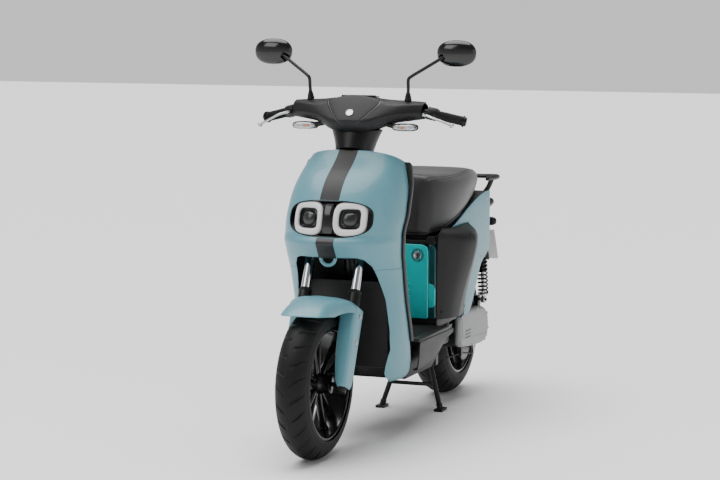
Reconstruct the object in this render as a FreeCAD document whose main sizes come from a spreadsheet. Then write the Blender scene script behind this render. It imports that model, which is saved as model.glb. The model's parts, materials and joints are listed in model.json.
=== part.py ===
import FreeCAD, Part
import math
import os
import re
import Sketcher
from types import SimpleNamespace
from FreeCAD import Placement, Rotation, Vector

# Step-through moped scooter with a raked telescopic fork, a swing unit with a belt drive and a
# centre stand.  Millimetres; +X is the rider's left, +Y runs rearward and +Z is up.  The origin is
# on the ground, midway along and across the machine.

SIZES = {
    "front_axle_y": -695, "wheelbase": 1305, "half_length": 937,
    "front_tyre_radius": 242, "front_tyre_width": 110, "rear_tyre_radius": 256, "rear_tyre_width": 130,
    "tyre_wall": 8, "rim_radius": 178, "rim_thickness": 9, "hub_radius": 32, "spoke_width": 15,
    "axle_radius": 7.5, "drive_shaft_radius": 8.5, "running_clearance": 0.05, "seam": 0.4,
    "disc_radius": 110, "disc_thickness": 4,
    "rake": 24.5, "fork_offset": 30, "fork_spacing": 85, "stanchion_radius": 15.5, "leg_radius": 21,
    "leg_top": 300, "fork_travel": 80, "clamp_bottom": 430, "clamp_height": 28,
    "stem_radius": 14, "head_bottom": 470, "head_top": 765, "head_wall": 5, "head_bore": 22,
    "stem_top": 905, "neck_bottom": 781, "body_top": 776,
    "bar_radius": 11, "bar_y": -310, "bar_z": 1092, "bar_reach": 120, "grip_start": 225,
    "grip_length": 86, "grip_radius": 16, "grip_gap": 1,
    "housing_radius": 21, "housing_start": 7, "housing_length": 30, "pivot_radius": 3, "lever_radius": 6,
    "mirror_base": 170, "mirror_ball": 8, "mirror_width": 132, "mirror_height": 86, "mirror_depth": 50,
    "tube_radius": 15, "spine_radius": 24, "rail_spacing": 112, "rail_z": 252, "swing_pivot_y": 300,
    "swing_pivot_radius": 8, "swing_tube_radius": 15, "floor_top": 334, "floor_thickness": 12,
    "floor_half_width": 200, "panel_wall": 4, "body_front_y": 34, "front_panel_half_width": 150,
    "front_panel_top": 614, "front_panel_bottom": 354, "lock_radius": 13,
    "case_inner": 74, "case_outer": 128, "case_wall": 8, "cover_depth": 22,
    "motor_y": 425, "motor_z": 268, "motor_radius": 44, "small_pulley": 20, "large_pulley": 46,
    "belt_width": 9, "belt_thickness": 3,
    "shock_spacing": 144, "shock_top_y": 590, "shock_top_z": 590, "shock_foot_y": 622,
    "shock_foot_z": 352, "shock_pin": 5,
    "stand_pivot_y": 255, "stand_pivot_z": 172, "stand_pin": 6, "stand_tube": 12,
    "seat_front": 38, "seat_rear": 640, "battery_width": 168, "battery_depth": 170,
    "battery_height": 235, "box_wall": 3, "box_half_width": 96.5, "box_floor": 612,
    "rail_height": 804, "rail_end": 738, "rail_tube": 11,
}

document = FreeCAD.newDocument("scooter")
sheet = document.addObject("Spreadsheet::Sheet", "dims")
for row, (name, value) in enumerate(SIZES.items(), 1):
    sheet.set("A%d" % row, name)
    sheet.set("B%d" % row, str(value))
    sheet.setAlias("B%d" % row, name)
document.recompute()
d = SimpleNamespace(**{name: float(sheet.get(name)) for name in SIZES})

rear_axle_y = d.front_axle_y + d.wheelbase
rear_shift = rear_axle_y - 610
sin_rake = math.sin(math.radians(d.rake))
cos_rake = math.cos(math.radians(d.rake))
parts = {}


def bind(item, prop, text):
    words = re.split(r"([A-Za-z_]+)", str(text))
    item.setExpression(prop, "".join("dims." + word if word in SIZES else word for word in words))


def new(kind, name, **bindings):
    item = document.addObject(kind, name)
    for prop, text in bindings.items():
        bind(item, prop, text)
    return item


def move(item, x=0, y=0, z=0):
    for prop, text in (("x", x), ("y", y), ("z", z)):
        bind(item, "Placement.Base." + prop, text)
    return item


def box(size, low):
    item = new("Part::Box", "box", Length=size[0], Width=size[1], Height=size[2])
    return move(item, *low)


def cylinder(radius, length, low=(0, 0, 0), along="z"):
    item = new("Part::Cylinder", "cylinder", Radius=radius, Height=length)
    turns = {"x": Rotation(Vector(0, 1, 0), 90), "y": Rotation(Vector(1, 0, 0), -90), "z": Rotation()}
    item.Placement = Placement(Vector(), turns[along])
    return move(item, *low)


def rod(start, end, radius):
    start, end = Vector(*start), Vector(*end)
    item = new("Part::Cylinder", "rod", Radius=radius)
    item.Height = (end - start).Length
    item.Placement = Placement(start, Rotation(Vector(0, 0, 1), end - start))
    return item


def ball(centre, radius):
    item = new("Part::Sphere", "ball", Radius=radius)
    item.Placement.Base = Vector(*centre)
    return item


def bent_tube(points, radius):
    pieces = [rod(start, end, radius) for start, end in zip(points, points[1:])]
    return pieces + [ball(point, radius) for point in points[1:-1]]


def fuse(pieces):
    item = document.addObject("Part::MultiFuse", "fuse")
    item.Shapes = list(pieces)
    return item


def cut(base, *tools):
    item = document.addObject("Part::Cut", "cut")
    item.Base = base
    item.Tool = tools[0] if len(tools) == 1 else fuse(tools)
    return item


def group(pieces):
    item = document.addObject("Part::Compound", "group")
    item.Links = list(pieces)
    return item


def mirrored(make):
    return group([make(1), make(-1)])


def part(label, item):
    item.Label = label
    parts[label] = item
    return item


def rake_frame(item, y="front_axle_y", z="front_tyre_radius"):
    item.Placement = Placement(Vector(), Rotation(Vector(-1, 0, 0), d.rake))
    bind(item, "Placement.Rotation.Angle", "rake")
    return move(item, 0, y, z)


def solid(name, shape):
    item = document.addObject("Part::Feature", name)
    item.Shape = shape
    return item

def outline(plane, points):
    """A closed outline in a new body, each corner bound to the sheet."""
    body = document.addObject("PartDesign::Body", "body")
    sketch = body.newObject("Sketcher::SketchObject", "sketch")
    origin = [item for item in body.Origin.OriginFeatures if item.Role == plane][0]
    sketch.AttachmentSupport = (origin, "")
    sketch.MapMode = "FlatFace"
    turn = 2 * math.pi / len(points)
    corners = [Vector(99 * math.cos(i * turn), 99 * math.sin(i * turn), 0) for i in range(len(points))]
    for start, end in zip(corners, corners[1:] + corners[:1]):
        sketch.addGeometry(Part.LineSegment(start, end), False)
    for index in range(len(points)):
        following = (index + 1) % len(points)
        sketch.addConstraint(Sketcher.Constraint("Coincident", index, 2, following, 1))
    for index, (point, corner) in enumerate(zip(points, corners)):
        for kind, text, start in zip(("DistanceX", "DistanceY"), point, corner):
            number = sketch.addConstraint(Sketcher.Constraint(kind, -1, 1, index, 1, start))
            bind(sketch, "Constraints[%d]" % number, text)
    return body, sketch


def padded(plane, points, length, low=(0, 0, 0), midplane=False):
    body, sketch = outline(plane, points)
    pad = body.newObject("PartDesign::Pad", "pad")
    pad.Profile = sketch
    pad.Midplane = midplane
    bind(pad, "Length", length)
    return move(body, *low)


def revolved(points):
    """Turns an outline of (along X, radius) corners about the X axis."""
    body, sketch = outline("XY_Plane", points)
    turn = body.newObject("PartDesign::Revolution", "turn")
    turn.Profile = sketch
    turn.ReferenceAxis = (sketch, ["H_Axis"])
    turn.Angle = 360
    return body


def loft(sections):
    wires = [Part.makePolygon([Vector(*point) for point in points + points[:1]]) for points in sections]
    return Part.makeLoft(wires, True, True)


def along_rake(x, v, u):
    """A point by its place across, behind and up the fork, counted from the front axle."""
    y = d.front_axle_y + v * cos_rake + u * sin_rake
    return (x, y, d.front_tyre_radius - v * sin_rake + u * cos_rake)


def steering(u, x=0):
    return along_rake(x, d.fork_offset, u)


def read(table, z):
    """Straight-line reading of a table of rows that start with their height."""
    for low, high in zip(table, table[1:]):
        if z <= high[0]:
            share = (z - low[0]) / (high[0] - low[0])
            return [a + (b - a) * share for a, b in zip(low[1:], high[1:])]
    return list(table[-1][1:])


# Wheels

def tyre(label, radius, width, centre_y):
    middle = "%s - %s / 2" % (radius, width)
    outside = new("Part::Torus", "carcass", Radius1=middle, Radius2=width + " / 2")
    inside = new("Part::Torus", "air", Radius1=middle, Radius2=width + " / 2 - tyre_wall")
    rim_seat = cylinder("rim_radius + 0.3", width + " + 4", (0, 0, "-%s / 2 - 2" % width))
    ring = cut(outside, inside, rim_seat)
    ring.Placement.Rotation = Rotation(Vector(0, 1, 0), 90)
    part(label, move(ring, 0, centre_y, radius))


def rim(width, radius, hub, centre_y, bore):
    half = "(%s / 2 - 4)" % width
    barrel = revolved([("-" + half, "rim_radius"), (half, "rim_radius"),
                       (half, "rim_radius - rim_thickness"), ("-" + half, "rim_radius - rim_thickness")])
    pieces = [barrel, cylinder("hub_radius", "2 * " + hub, ("-" + hub, 0, 0), "x")]
    for index in range(10):
        degrees = 72 * (index // 2) + (11 if index % 2 else -11)
        spoke = new("Part::Box", "spoke", Length=22, Width="spoke_width",
                    Height="rim_radius - rim_thickness - 20")
        angle = math.radians(degrees)
        lean = d.spoke_width / 2
        spoke.Placement = Placement(
            Vector(-11, -lean * math.cos(angle) - 22 * math.sin(angle),
                   -lean * math.sin(angle) + 22 * math.cos(angle)),
            Rotation(Vector(1, 0, 0), degrees))
        pieces.append(spoke)
    wheel = fuse(pieces)
    if bore:
        wheel = cut(wheel, cylinder(bore, "2 * %s + 4" % hub, ("-%s - 2" % hub, 0, 0), "x"))
    return move(wheel, 0, centre_y, radius)


def make_front_wheel():
    tyre("front_tyre", "front_tyre_radius", "front_tyre_width", "front_axle_y")
    part("front_rim", rim("front_tyre_width", "front_tyre_radius", "(front_tyre_width / 2 + 3)",
                          "front_axle_y", "axle_radius + running_clearance"))
    face = "-front_tyre_width / 2 - 3 - disc_thickness"
    disc = cut(cylinder("disc_radius", "disc_thickness", (face, 0, 0), "x"),
               cylinder("axle_radius + 4", "disc_thickness", (face, 0, 0), "x"))
    part("brake_disc", move(disc, 0, "front_axle_y", "front_tyre_radius"))


def make_rear_wheel():
    tyre("rear_tyre", "rear_tyre_radius", "rear_tyre_width", "front_axle_y + wheelbase")
    wheel = rim("rear_tyre_width", "rear_tyre_radius", "(rear_tyre_width / 2 + 1)", 0, "")
    shaft = cylinder("drive_shaft_radius", "100 + case_outer - 4", (-100, 0, "rear_tyre_radius"), "x")
    pulley = cylinder("large_pulley", "belt_width", ("case_outer - 20", 0, "rear_tyre_radius"), "x")
    part("rear_rim", move(fuse([wheel, shaft, pulley]), 0, "front_axle_y + wheelbase", 0))


# Fork and steering

def make_fork():
    def leg(side):
        across = "%d * fork_spacing" % side
        outer = cylinder("leg_radius", "leg_top + 25", (across, 0, -25))
        bore = cylinder("stanchion_radius + running_clearance", "leg_top", (across, 0, 25))
        axle_hole = cylinder("axle_radius", 60, (across + " - 30", 0, 0), "x")
        return cut(outer, bore, axle_hole)
    end = "fork_spacing + leg_radius"
    axle = fuse([cylinder("axle_radius", "2 * (%s + 4)" % end, ("-(%s) - 4" % end, 0, 0), "x"),
                 cylinder("axle_radius + 4", 4, (end, 0, 0), "x"),
                 cylinder("axle_radius + 4", 4, ("-(%s) - 4" % end, 0, 0), "x")])
    part("fork_legs", rake_frame(group([leg(1), leg(-1), axle])))
    block = box((30, 46, 60), ("-front_tyre_width / 2 - 26", 58, 40))
    slot = cylinder("disc_radius + 2", "disc_thickness + 3",
                    ("-front_tyre_width / 2 - disc_thickness - 4.5", 0, 0), "x")
    arm = box((8, 50, 22), ("-front_tyre_width / 2 - 26", 16, 58))
    keep_leg = cylinder("leg_radius", "leg_top", ("-fork_spacing", 0, 0))
    part("brake_caliper", rake_frame(cut(fuse([block, arm]), slot, keep_leg)))

    def stanchion(side):
        return cylinder("stanchion_radius", "clamp_bottom + clamp_height - 110",
                        ("%d * fork_spacing" % side, 0, 110))
    part("fork_stanchions", rake_frame(mirrored(stanchion)))
    clamp = box(("2 * fork_spacing + 46", "fork_offset + 44", "clamp_height"),
                ("-fork_spacing - 23", -22, "clamp_bottom"))
    holes = [cylinder("stanchion_radius", "clamp_height", ("%d * fork_spacing" % side, 0, "clamp_bottom"))
             for side in (1, -1)]
    stem = cylinder("stem_radius", "stem_top - clamp_bottom", (0, "fork_offset", "clamp_bottom"))
    part("steering_stem", rake_frame(fuse([cut(clamp, *holes), stem])))


def make_front_fender():
    """A crowned band over the tyre with a cover down the front and outside of each leg."""
    inner = d.front_tyre_radius + 22
    profile = [(-79, -42), (-73, -14), (-57, 3), (0, 6), (57, 3), (73, -14), (79, -42)]
    wall = [(x * 0.95, low - 4) for x, low in profile[::-1]]
    ring = [Vector(x, 0, inner + out) for x, out in profile + wall]
    band = Part.Face(Part.makePolygon(ring + ring[:1])).revolve(Vector(), Vector(1, 0, 0), 360)
    reach = inner * 1.6
    wedge = [(0, 0, 0)]
    for degrees in (-74, -40, -10, 15):
        angle = math.radians(degrees)
        wedge.append((0, reach * math.sin(angle), reach * math.cos(angle)))
    sector = Part.Face(Part.makePolygon([Vector(*p) for p in wedge + wedge[:1]]))
    sector.translate(Vector(-120, 0, 0))
    shape = band.common(sector.extrude(Vector(240, 0, 0)))
    for side in (1, -1):
        low = 108 if side > 0 else -112
        plate = Part.Face(Part.makePolygon([Vector(low, v, u) for v, u in (
            (-34, -8), (22, 10), (24, 120), (26, inner - 22), (-34, inner - 22), (-34, -8))]))
        front = Part.Face(Part.makePolygon([Vector(side * x, -36, u) for x, u in (
            (112, -8), (112, inner - 22), (66, inner - 7), (63, 200), (66, 110), (80, 10), (88, -12),
            (112, -8))]))
        shoulder = Part.Face(Part.makePolygon([Vector(side * x, -36, u) for x, u in (
            (62, inner - 3), (112, inner - 20), (112, inner - 24), (62, inner - 8), (62, inner - 3))]))
        shape = shape.fuse(plate.extrude(Vector(4, 0, 0)))
        shape = shape.fuse(front.extrude(Vector(0, 4, 0)))
        shape = shape.fuse(shoulder.extrude(Vector(0, 62, 0)))
        across = side * d.fork_spacing
        shape = shape.cut(Part.makeCylinder(d.leg_radius, inner + 60, Vector(across, 0, 0)))
        shape = shape.cut(Part.makeCylinder(d.axle_radius + 5, 20, Vector(side * 104 - 10, 0, 0),
                                            Vector(1, 0, 0)))
    below = Part.Face(Part.makePolygon([Vector(-120, v, u) for v, u in (
        (-290, 107), (-50, 217), (-50, -50), (-290, -50), (-290, 107))]))
    shape = shape.cut(below.extrude(Vector(240, 0, 0)))
    part("front_fender", rake_frame(solid("fender", shape)))


def grip_point(side, along, shift=(0, 0, 0)):
    start = Vector(d.grip_start, d.bar_y + 15, d.bar_z - 8)
    point = start + Vector(122, 30, -29).normalize() * along + Vector(*shift)
    return (side * point.x, point.y, point.z)


def make_handlebar():
    points = [grip_point(-1, bar_end()), grip_point(-1, 0), (-d.bar_reach, d.bar_y, d.bar_z),
              (d.bar_reach, d.bar_y, d.bar_z), grip_point(1, 0), grip_point(1, bar_end())]
    pieces = bent_tube(points, "bar_radius")
    for side in (1, -1):
        cap = rod(grip_point(side, bar_end() - 1), grip_point(side, bar_end() + 5), "grip_radius + 3")
        pieces.append(cap)
    pieces.append(rod(steering(d.stem_top - 33), steering(d.stem_top + 10), "stem_radius + 6"))
    pieces.append(rod(steering(d.stem_top), (0, d.bar_y, d.bar_z), "stem_radius"))
    stem_hole = rod(steering(d.stem_top - 60), steering(d.stem_top), "stem_radius")
    part("handlebar", cut(fuse(pieces), stem_hole))


def bar_end():
    return d.housing_start + d.housing_length + d.grip_gap + d.grip_length + 1


def make_grips():
    start = d.housing_start + d.housing_length + d.grip_gap
    for label, side, bore in (("left_grip", 1, "bar_radius + 0.15"),
                              ("throttle_grip", -1, "bar_radius + running_clearance")):
        outer = rod(grip_point(side, start), grip_point(side, start + d.grip_length), "grip_radius")
        inner = rod(grip_point(side, start - 1), grip_point(side, start + d.grip_length + 1), bore)
        part(label, cut(outer, inner))


lever_lean = Vector(0.3, 0, 0.954).normalize()


def lever_pivot(side):
    point = Vector(d.grip_start + 13, d.bar_y - 36, d.bar_z - 14)
    return Vector(side * point.x, point.y, point.z), Vector(side * lever_lean.x, 0, lever_lean.z)


def make_controls():
    housings = []
    for side in (1, -1):
        pivot, lean = lever_pivot(side)
        shell = rod(grip_point(side, d.housing_start),
                    grip_point(side, d.housing_start + d.housing_length), "housing_radius")
        middle = Vector(*grip_point(side, d.housing_start + d.housing_length / 2))
        reach = (pivot - middle).normalize()
        pieces = [shell, rod(middle, pivot - reach * 13, "9.5")]
        for low in (-8, 5):
            ear = rod(pivot + lean * low, pivot + lean * (low + 3), "8")
            strut = rod(pivot + lean * (low + 1.5), pivot + lean * (low + 1.5) - reach * 15, "1.2")
            pieces += [ear, strut]
        pieces.append(rod(pivot - lean * 8, pivot + lean * 8, "pivot_radius"))
        bar_hole = rod(grip_point(side, -20), grip_point(side, 60), "bar_radius + 0.15")
        tools = [bar_hole]
        if side > 0:
            tools += [rod(button_seat(0), button_seat(40), "5 + running_clearance"),
                      box((18, 40, 7), (button_x() - 9, button_y() + 15, button_z() - 13.5))]
        housings.append(cut(fuse(pieces), *tools))
    part("switch_housings", group(housings))
    part("horn_button", rod(button_seat(15.5), button_seat(26), "5"))
    part("signal_switch", box((10, 12, 6), (button_x() - 5, button_y() + 15.5, button_z() - 13)))
    for label, side in (("brake_lever_left", 1), ("brake_lever_right", -1)):
        pivot, lean = lever_pivot(side)
        drop = 32 if side > 0 else 44  # the right lever hangs a little lower
        tip = pivot + Vector(side * 96, -9, -drop)
        elbow = pivot + Vector(side * 30, -8, -9)
        blade = fuse([rod(pivot - lean * 4.3, pivot + lean * 4.3, "8"), rod(pivot, elbow, "4.5"),
                      ball(elbow, "lever_radius + 0.2"), rod(elbow, tip, "lever_radius"),
                      ball(tip, "lever_radius + 2")])
        hole = rod(pivot - lean * 12, pivot + lean * 12, "pivot_radius + running_clearance")
        part(label, cut(blade, hole))


def button_x():
    return grip_point(1, d.housing_start + d.housing_length / 2)[0]


def button_y():
    return grip_point(1, d.housing_start + d.housing_length / 2)[1]


def button_z():
    return grip_point(1, d.housing_start + d.housing_length / 2)[2] + 3


def button_seat(out):
    return (button_x(), button_y() + out, button_z() + 5)


BAR_SECTIONS = (  # station, corners of the section
    (0, ((-396, 1024), (-414, 1060), (-348, 1134), (-320, 1132), (-272, 1121), (-246, 1090),
         (-256, 1040), (-300, 1022))),
    (60, ((-395, 1026), (-410, 1058), (-352, 1126), (-325, 1130), (-272, 1120), (-248, 1090),
          (-258, 1040), (-300, 1024))),
    (120, ((-365, 1050), (-382, 1075), (-360, 1108), (-320, 1124), (-270, 1118), (-250, 1090),
           (-262, 1058), (-310, 1045))),
    (225, ((-330, 1066), (-338, 1085), (-325, 1110), (-300, 1118), (-270, 1105), (-262, 1085),
           (-272, 1068), (-300, 1062))),
)


def bar_section(x, corners, inset):
    shift_y, shift_z = d.bar_y + 310, d.bar_z - 1092
    middle = Vector(0, sum(c[0] for c in corners) / len(corners), sum(c[1] for c in corners) / len(corners))
    points = []
    for y, z in corners:
        away = Vector(0, y, z) - middle
        away.multiply(1 - inset / away.Length)
        points.append((x, middle.y + away.y + shift_y, middle.z + away.z + shift_z))
    return points


def make_bar_cover():
    scale = d.grip_start / 225
    rows = [(-x * scale, corners) for x, corners in reversed(BAR_SECTIONS[1:])]
    rows += [(x * scale, corners) for x, corners in BAR_SECTIONS]
    outer = loft([bar_section(x, corners, 0) for x, corners in rows])
    inner_rows = [(x * (1.01 if abs(x) > d.grip_start - 1 else 1), corners) for x, corners in rows]
    inner = loft([bar_section(x, corners, 5) for x, corners in inner_rows])
    hole = Part.makeCylinder(d.stem_radius + 9, 90, Vector(*steering(d.stem_top - 85)),
                             Vector(0, sin_rake, cos_rake))
    part("bar_cover", solid("bar_cover", outer.cut(inner).cut(hole)))
    plate = padded("XZ_Plane", [(-22, 2), (22, 2), (60, 28), (86, 84), (-86, 84), (-60, 28)], 5)
    plate.Placement = Placement(Vector(), Rotation(Vector(-1, 0, 0), 41.7))
    part("visor", move(plate, 0, "bar_y - 104.4", "bar_z - 31.7"))
    meter = box((120, 48, 6), (0, 0, 0))
    meter.Placement = Placement(Vector(), Rotation(Vector(-1, 0, 0), 12.9))
    part("meter", move(meter, -60, "bar_y - 9", "bar_z + 40"))

    def signal(side):
        lens = box((96, 32, 26), (-48, -16, -13))
        return move(fillet(lens, 8), "%d * (grip_start - 41)" % side, "bar_y - 44", "bar_z - 53")
    part("front_signals", mirrored(signal))


def fillet(base, radius):
    """Rounds every edge of a box."""
    document.recompute()
    item = document.addObject("Part::Fillet", "fillet")
    item.Base = base
    item.Edges = [(index + 1, radius, radius) for index in range(len(base.Shape.Edges))]
    return item


def make_neck():
    def ring(inset):
        low, high = [], []
        for index in range(12):
            turn = 2 * math.pi * index / 12
            across, back = math.cos(turn), math.sin(turn)
            low.append(along_rake((62 - inset) * across, 16 + (60 - inset) * back, d.neck_bottom))
            high.append(((86 - inset) * across, d.bar_y - 16 + (64 - inset) * back, d.bar_z - 68.6))
        return [low, high]
    outer, inner = loft(ring(0)), loft(ring(5))
    part("neck_cover", solid("neck", outer.cut(inner)))


def make_mirrors():
    for name, side in (("left", 1), ("right", -1)):
        base = (side * d.mirror_base, d.bar_y - 1, d.bar_z + 30.1)
        bend = (side * (d.mirror_base + 3), d.bar_y - 8, d.bar_z + 102)
        joint = (side * (d.mirror_base + 115), d.bar_y + 29, d.bar_z + 174)
        arm = bent_tube([base, bend, joint], "5.5")
        boot = rod(base, Vector(*base) + (Vector(*bend) - Vector(*base)) * 0.3, "11")
        part("mirror_arm_" + name, fuse(arm + [ball(joint, "mirror_ball"), boot]))
        head = new("Part::Ellipsoid", "head", Radius1="mirror_height / 2", Radius2="mirror_width / 2",
                   Radius3="mirror_depth / 2")
        head.Angle1, head.Angle2, head.Angle3 = -90, 90, 360
        middle = Vector(side * (d.mirror_base + 151), d.bar_y + 40, d.bar_z + 183)
        head.Placement.Base = middle
        back = box((300, 60, 300), (middle.x - 150, middle.y + 6, middle.z - 150))
        socket = ball(joint, "mirror_ball + 0.3")
        towards = (Vector(*bend) - Vector(*joint)).normalize()
        channel = rod(Vector(*joint) + towards * 3, Vector(*joint) + towards * 70, "12")
        part("mirror_" + name, cut(head, back, socket, channel))


# Frame

def make_frame():
    y_rear = 262 + rear_shift
    pieces = []
    column = rod(steering(d.head_bottom), steering(d.head_top), "head_bore + head_wall")
    spine = bent_tube([steering(600), (0, -318, 330), (0, -240, d.rail_z)], "spine_radius")
    for side in (1, -1):
        x = side * d.rail_spacing
        pieces += bent_tube([(x, -240, d.rail_z), (x, y_rear, d.rail_z), (x, y_rear + 38, 600),
                             (x, y_rear + 538, 700)], "tube_radius")
        pieces.append(ball((x, -240, d.rail_z), "tube_radius"))
        pieces += [cylinder(9, 366, (side * (d.rail_spacing - 15), 58 + rear_shift, d.rail_z)),
                   box((14, 14, 20), (side * 97 - 7, 39 + rear_shift, 500)),
                   box((6, 26, 28), (side * 33 - 3, 40 + rear_shift, 616.5))]
        pieces.append(box((12, 56, 34), (side * 104 - 6, y_rear - 4, d.rail_z - 19)))
        pieces.append(box((10, 24, 100), (side * 83 - 5, d.stand_pivot_y + rear_shift - 12,
                                          d.stand_pivot_z - 12)))
        pieces.append(box((28, 24, 24), (side * 91 - 14, d.stand_pivot_y + rear_shift - 12, d.rail_z - 12)))
        pieces.append(box((10, 30, 92), (side * 112 - 5, d.shock_top_y + rear_shift - 15, 576)))
        start = 108 if side > 0 else -157
        pieces.append(cylinder("shock_pin", 49, (start, d.shock_top_y + rear_shift, "shock_top_z"), "x"))
    span = 2 * d.rail_spacing
    pieces.append(cylinder("tube_radius", span, (-d.rail_spacing, -240, d.rail_z), "x"))
    for y in (-150, -20):
        pieces.append(box((span, 16, "floor_top - floor_thickness - rail_z"), (-d.rail_spacing, y, d.rail_z)))
    for y in (95, 215):
        pieces.append(box((span, 15, "floor_top + 3.6 - rail_z"),
                          (-d.rail_spacing, y + rear_shift, d.rail_z)))
    pieces.append(cylinder(9, 194, (-97, 58 + rear_shift, 618), "x"))
    pieces.append(cylinder(4, 72, (-36, 48 + rear_shift, 640), "x"))
    pieces.append(cylinder(10, span, (-d.rail_spacing, 790 + rear_shift, 698), "x"))
    for side in (1, -1):
        pieces.append(box((12, 14, 52), (side * 40 - 6, 783 + rear_shift, 640.3)))
    pivot_y = "swing_pivot_y + (%s)" % rear_shift
    pieces.append(cylinder("swing_pivot_radius", 208, (-104, pivot_y, "rail_z - 2"), "x"))
    pieces.append(cylinder("stand_pin", 166, (-83, d.stand_pivot_y + rear_shift, "stand_pivot_z"), "x"))
    pieces += [box((40, 36.4, 18), (-20, -388, 791)), box((30, 66, 16), (-15, -407.6, 382))]
    tools = [rod(steering(d.head_bottom + 20), steering(d.head_top - 20), "head_bore"),
             rod(steering(d.head_bottom - 5), steering(d.head_top + 5), "stem_radius + running_clearance")]
    part("main_frame", cut(fuse([column] + spine + pieces), *tools))


# Bodywork

SKIN = (  # height, half width, front, rear edge
    (334, 186, -452, -350), (386, 188, -452, -362), (486, 189, -471, -385), (588, 190, -590, -415),
    (626, 190, -602, -424), (667, 192, -620, -430), (700, 193, -614, -429), (751, 195, -604, -402),
    (812, 190, -577, -372), (860, 180, -541, -353), (917, 162, -462, -331), (972, 131, -394, -305),
)


def skin_section(z, inset, depth):
    width, front, rear = read(SKIN, z)
    ring = []
    for gap in (inset, inset + depth):
        side = []
        for index in range(13):
            turn = math.pi * index / 12
            x = math.copysign(abs(math.cos(turn)) ** 0.75, math.cos(turn))
            side.append(((width - gap) * x, rear + (front + gap - rear) * math.sin(turn) ** 0.9, z))
        ring += side if gap == inset else side[::-1]
    return ring


def above_neck():
    tool = Part.makeBox(600, 600, 300, Vector(-300, -300, d.body_top))
    tool.rotate(Vector(), Vector(-1, 0, 0), d.rake)
    tool.translate(Vector(0, d.front_axle_y, d.front_tyre_radius))
    return tool


def make_front_cover():
    levels = [row[0] for row in SKIN if row[0] > 580]
    shell = loft([skin_section(z, 0, d.panel_wall) for z in levels])
    window = Part.makeBox(286, 160, 118, Vector(-143, -700, 695))
    arch = Part.makeBox(236, 250, 60, Vector(-118, -700, 567))
    part("front_cover", solid("cover", shell.cut(window).cut(arch).cut(above_neck())))
    levels = [696, 700, 751, 812]
    block = loft([skin_section(z, 2, 34) for z in levels])
    block = block.common(Part.makeBox(285, 159.6, 117, Vector(-142.5, -700, 695.5)))
    part("headlight_housing", solid("housing", block))


SIDE_COVER = (  # height, outside, inside, front, rear edge
    (209, 142, 112, -440, -275), (235, 166, 130, -466, -290), (274, 180, 150, -458, -320),
    (334, 186, 158, -450, -350), (386, 188, 158, -452, -362), (486, 189, 150, -471, -385),
    (587, 190, 136, -520, -414.7),
)


def make_lower_front_covers():
    def side_cover(side):
        sections = []
        for z, outside, inside, front, rear in SIDE_COVER:
            wall = d.panel_wall
            corners = ((outside, rear), (outside, front + 25), (outside - 22, front), (inside, front),
                       (inside, front + wall), (outside - 23, front + wall), (outside - wall, front + 27),
                       (outside - wall, rear))
            sections.append([(side * x, y, z) for x, y in corners])
        shape = loft(sections)
        sole = Part.Face(Part.makePolygon([Vector(side * x, y, 205) for x, y in (
            (142, -275), (142, -415), (120, -440), (112, -440), (100, -300), (142, -275))]))
        return solid("side_cover", shape.fuse(sole.extrude(Vector(0, 0, 4))))
    part("lower_front_covers", mirrored(side_cover))


def make_leg_shield():
    middle = ((334, -282), (400, -300), (540, -328), (700, -355), (800, -352), (855, -342), (930, -312),
              (972, -296))
    sections = []
    for z in [334.4] + [row[0] for row in SKIN[1:]]:
        width, front, rear = read(SKIN, z)
        centre = read(middle, z)[0]
        edge = rear + d.seam
        width += 7
        half = [(width, edge + 26), (width - 40, centre + 5)]
        face = [(width - 42, centre), (width - 9, edge), (width, edge)]
        ring = half + [(-x, y) for x, y in half[::-1]] + [(-x, y) for x, y in face[::-1]] + face
        sections.append([(x, y, z) for x, y in ring])
    shield = loft(sections).cut(above_neck())
    lock = Part.makeCylinder(d.lock_radius + d.running_clearance, 60, Vector(-75, -380, 850), Vector(0, 1, 0))
    part("leg_shield", solid("shield", shield.cut(lock)))
    part("ignition_lock", cylinder("lock_radius", 18, (-75, -345, 850), "y"))
    well = padded("YZ_Plane", [(-408, 255), (-408, 400), (-428, 490), (-432, 540), (-436, 540),
                               (-432, 490), (-412, 400), (-412, 255)], 280, midplane=True)
    part("wheel_well", well)


def make_floor():
    back = "48 + (%s)" % rear_shift
    board = box(("2 * floor_half_width", back + " + 270", "floor_thickness"),
                ("-floor_half_width", -270, "floor_top - floor_thickness"))
    part("floorboard", board)
    under = "floor_top - floor_thickness - seam"
    tray = padded("XZ_Plane", [(-165, under), (-140, 190), (140, 190), (165, under), (161, under),
                               (137, 194), (-137, 194), (-161, under)], "190 + 236 + (%s)" % rear_shift,
                  (0, "190 + (%s)" % rear_shift, 0))
    part("belly_pan", tray)

    def skirt(side):
        corners = [("floor_half_width", under), ("floor_half_width - 10", 226), (168, 222), (168, 226),
                   ("floor_half_width - 13.5", 230), ("floor_half_width - 4", under)]
        corners = [("%d * (%s)" % (side, x), z) for x, z in corners]
        return padded("XZ_Plane", corners, "95 + 256 + (%s)" % rear_shift, (0, "95 + (%s)" % rear_shift, 0))
    part("side_skirts", mirrored(skirt))


SIDE_PANEL = (  # height, front, rear, widest, x at the front, x at the rear
    (354, 45, 262, 199, 154.6, 176), (420, 45, 285, 208, 154.6, 176), (500, 45, 310, 226, 154.6, 176),
    (573, 45, 330, 244, 155, 176), (640, 60, 345, 250, 172, 178), (694, 140, 345, 240, 198, 190),
    (722, 190, 320, 214, 205, 198),
)


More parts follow.
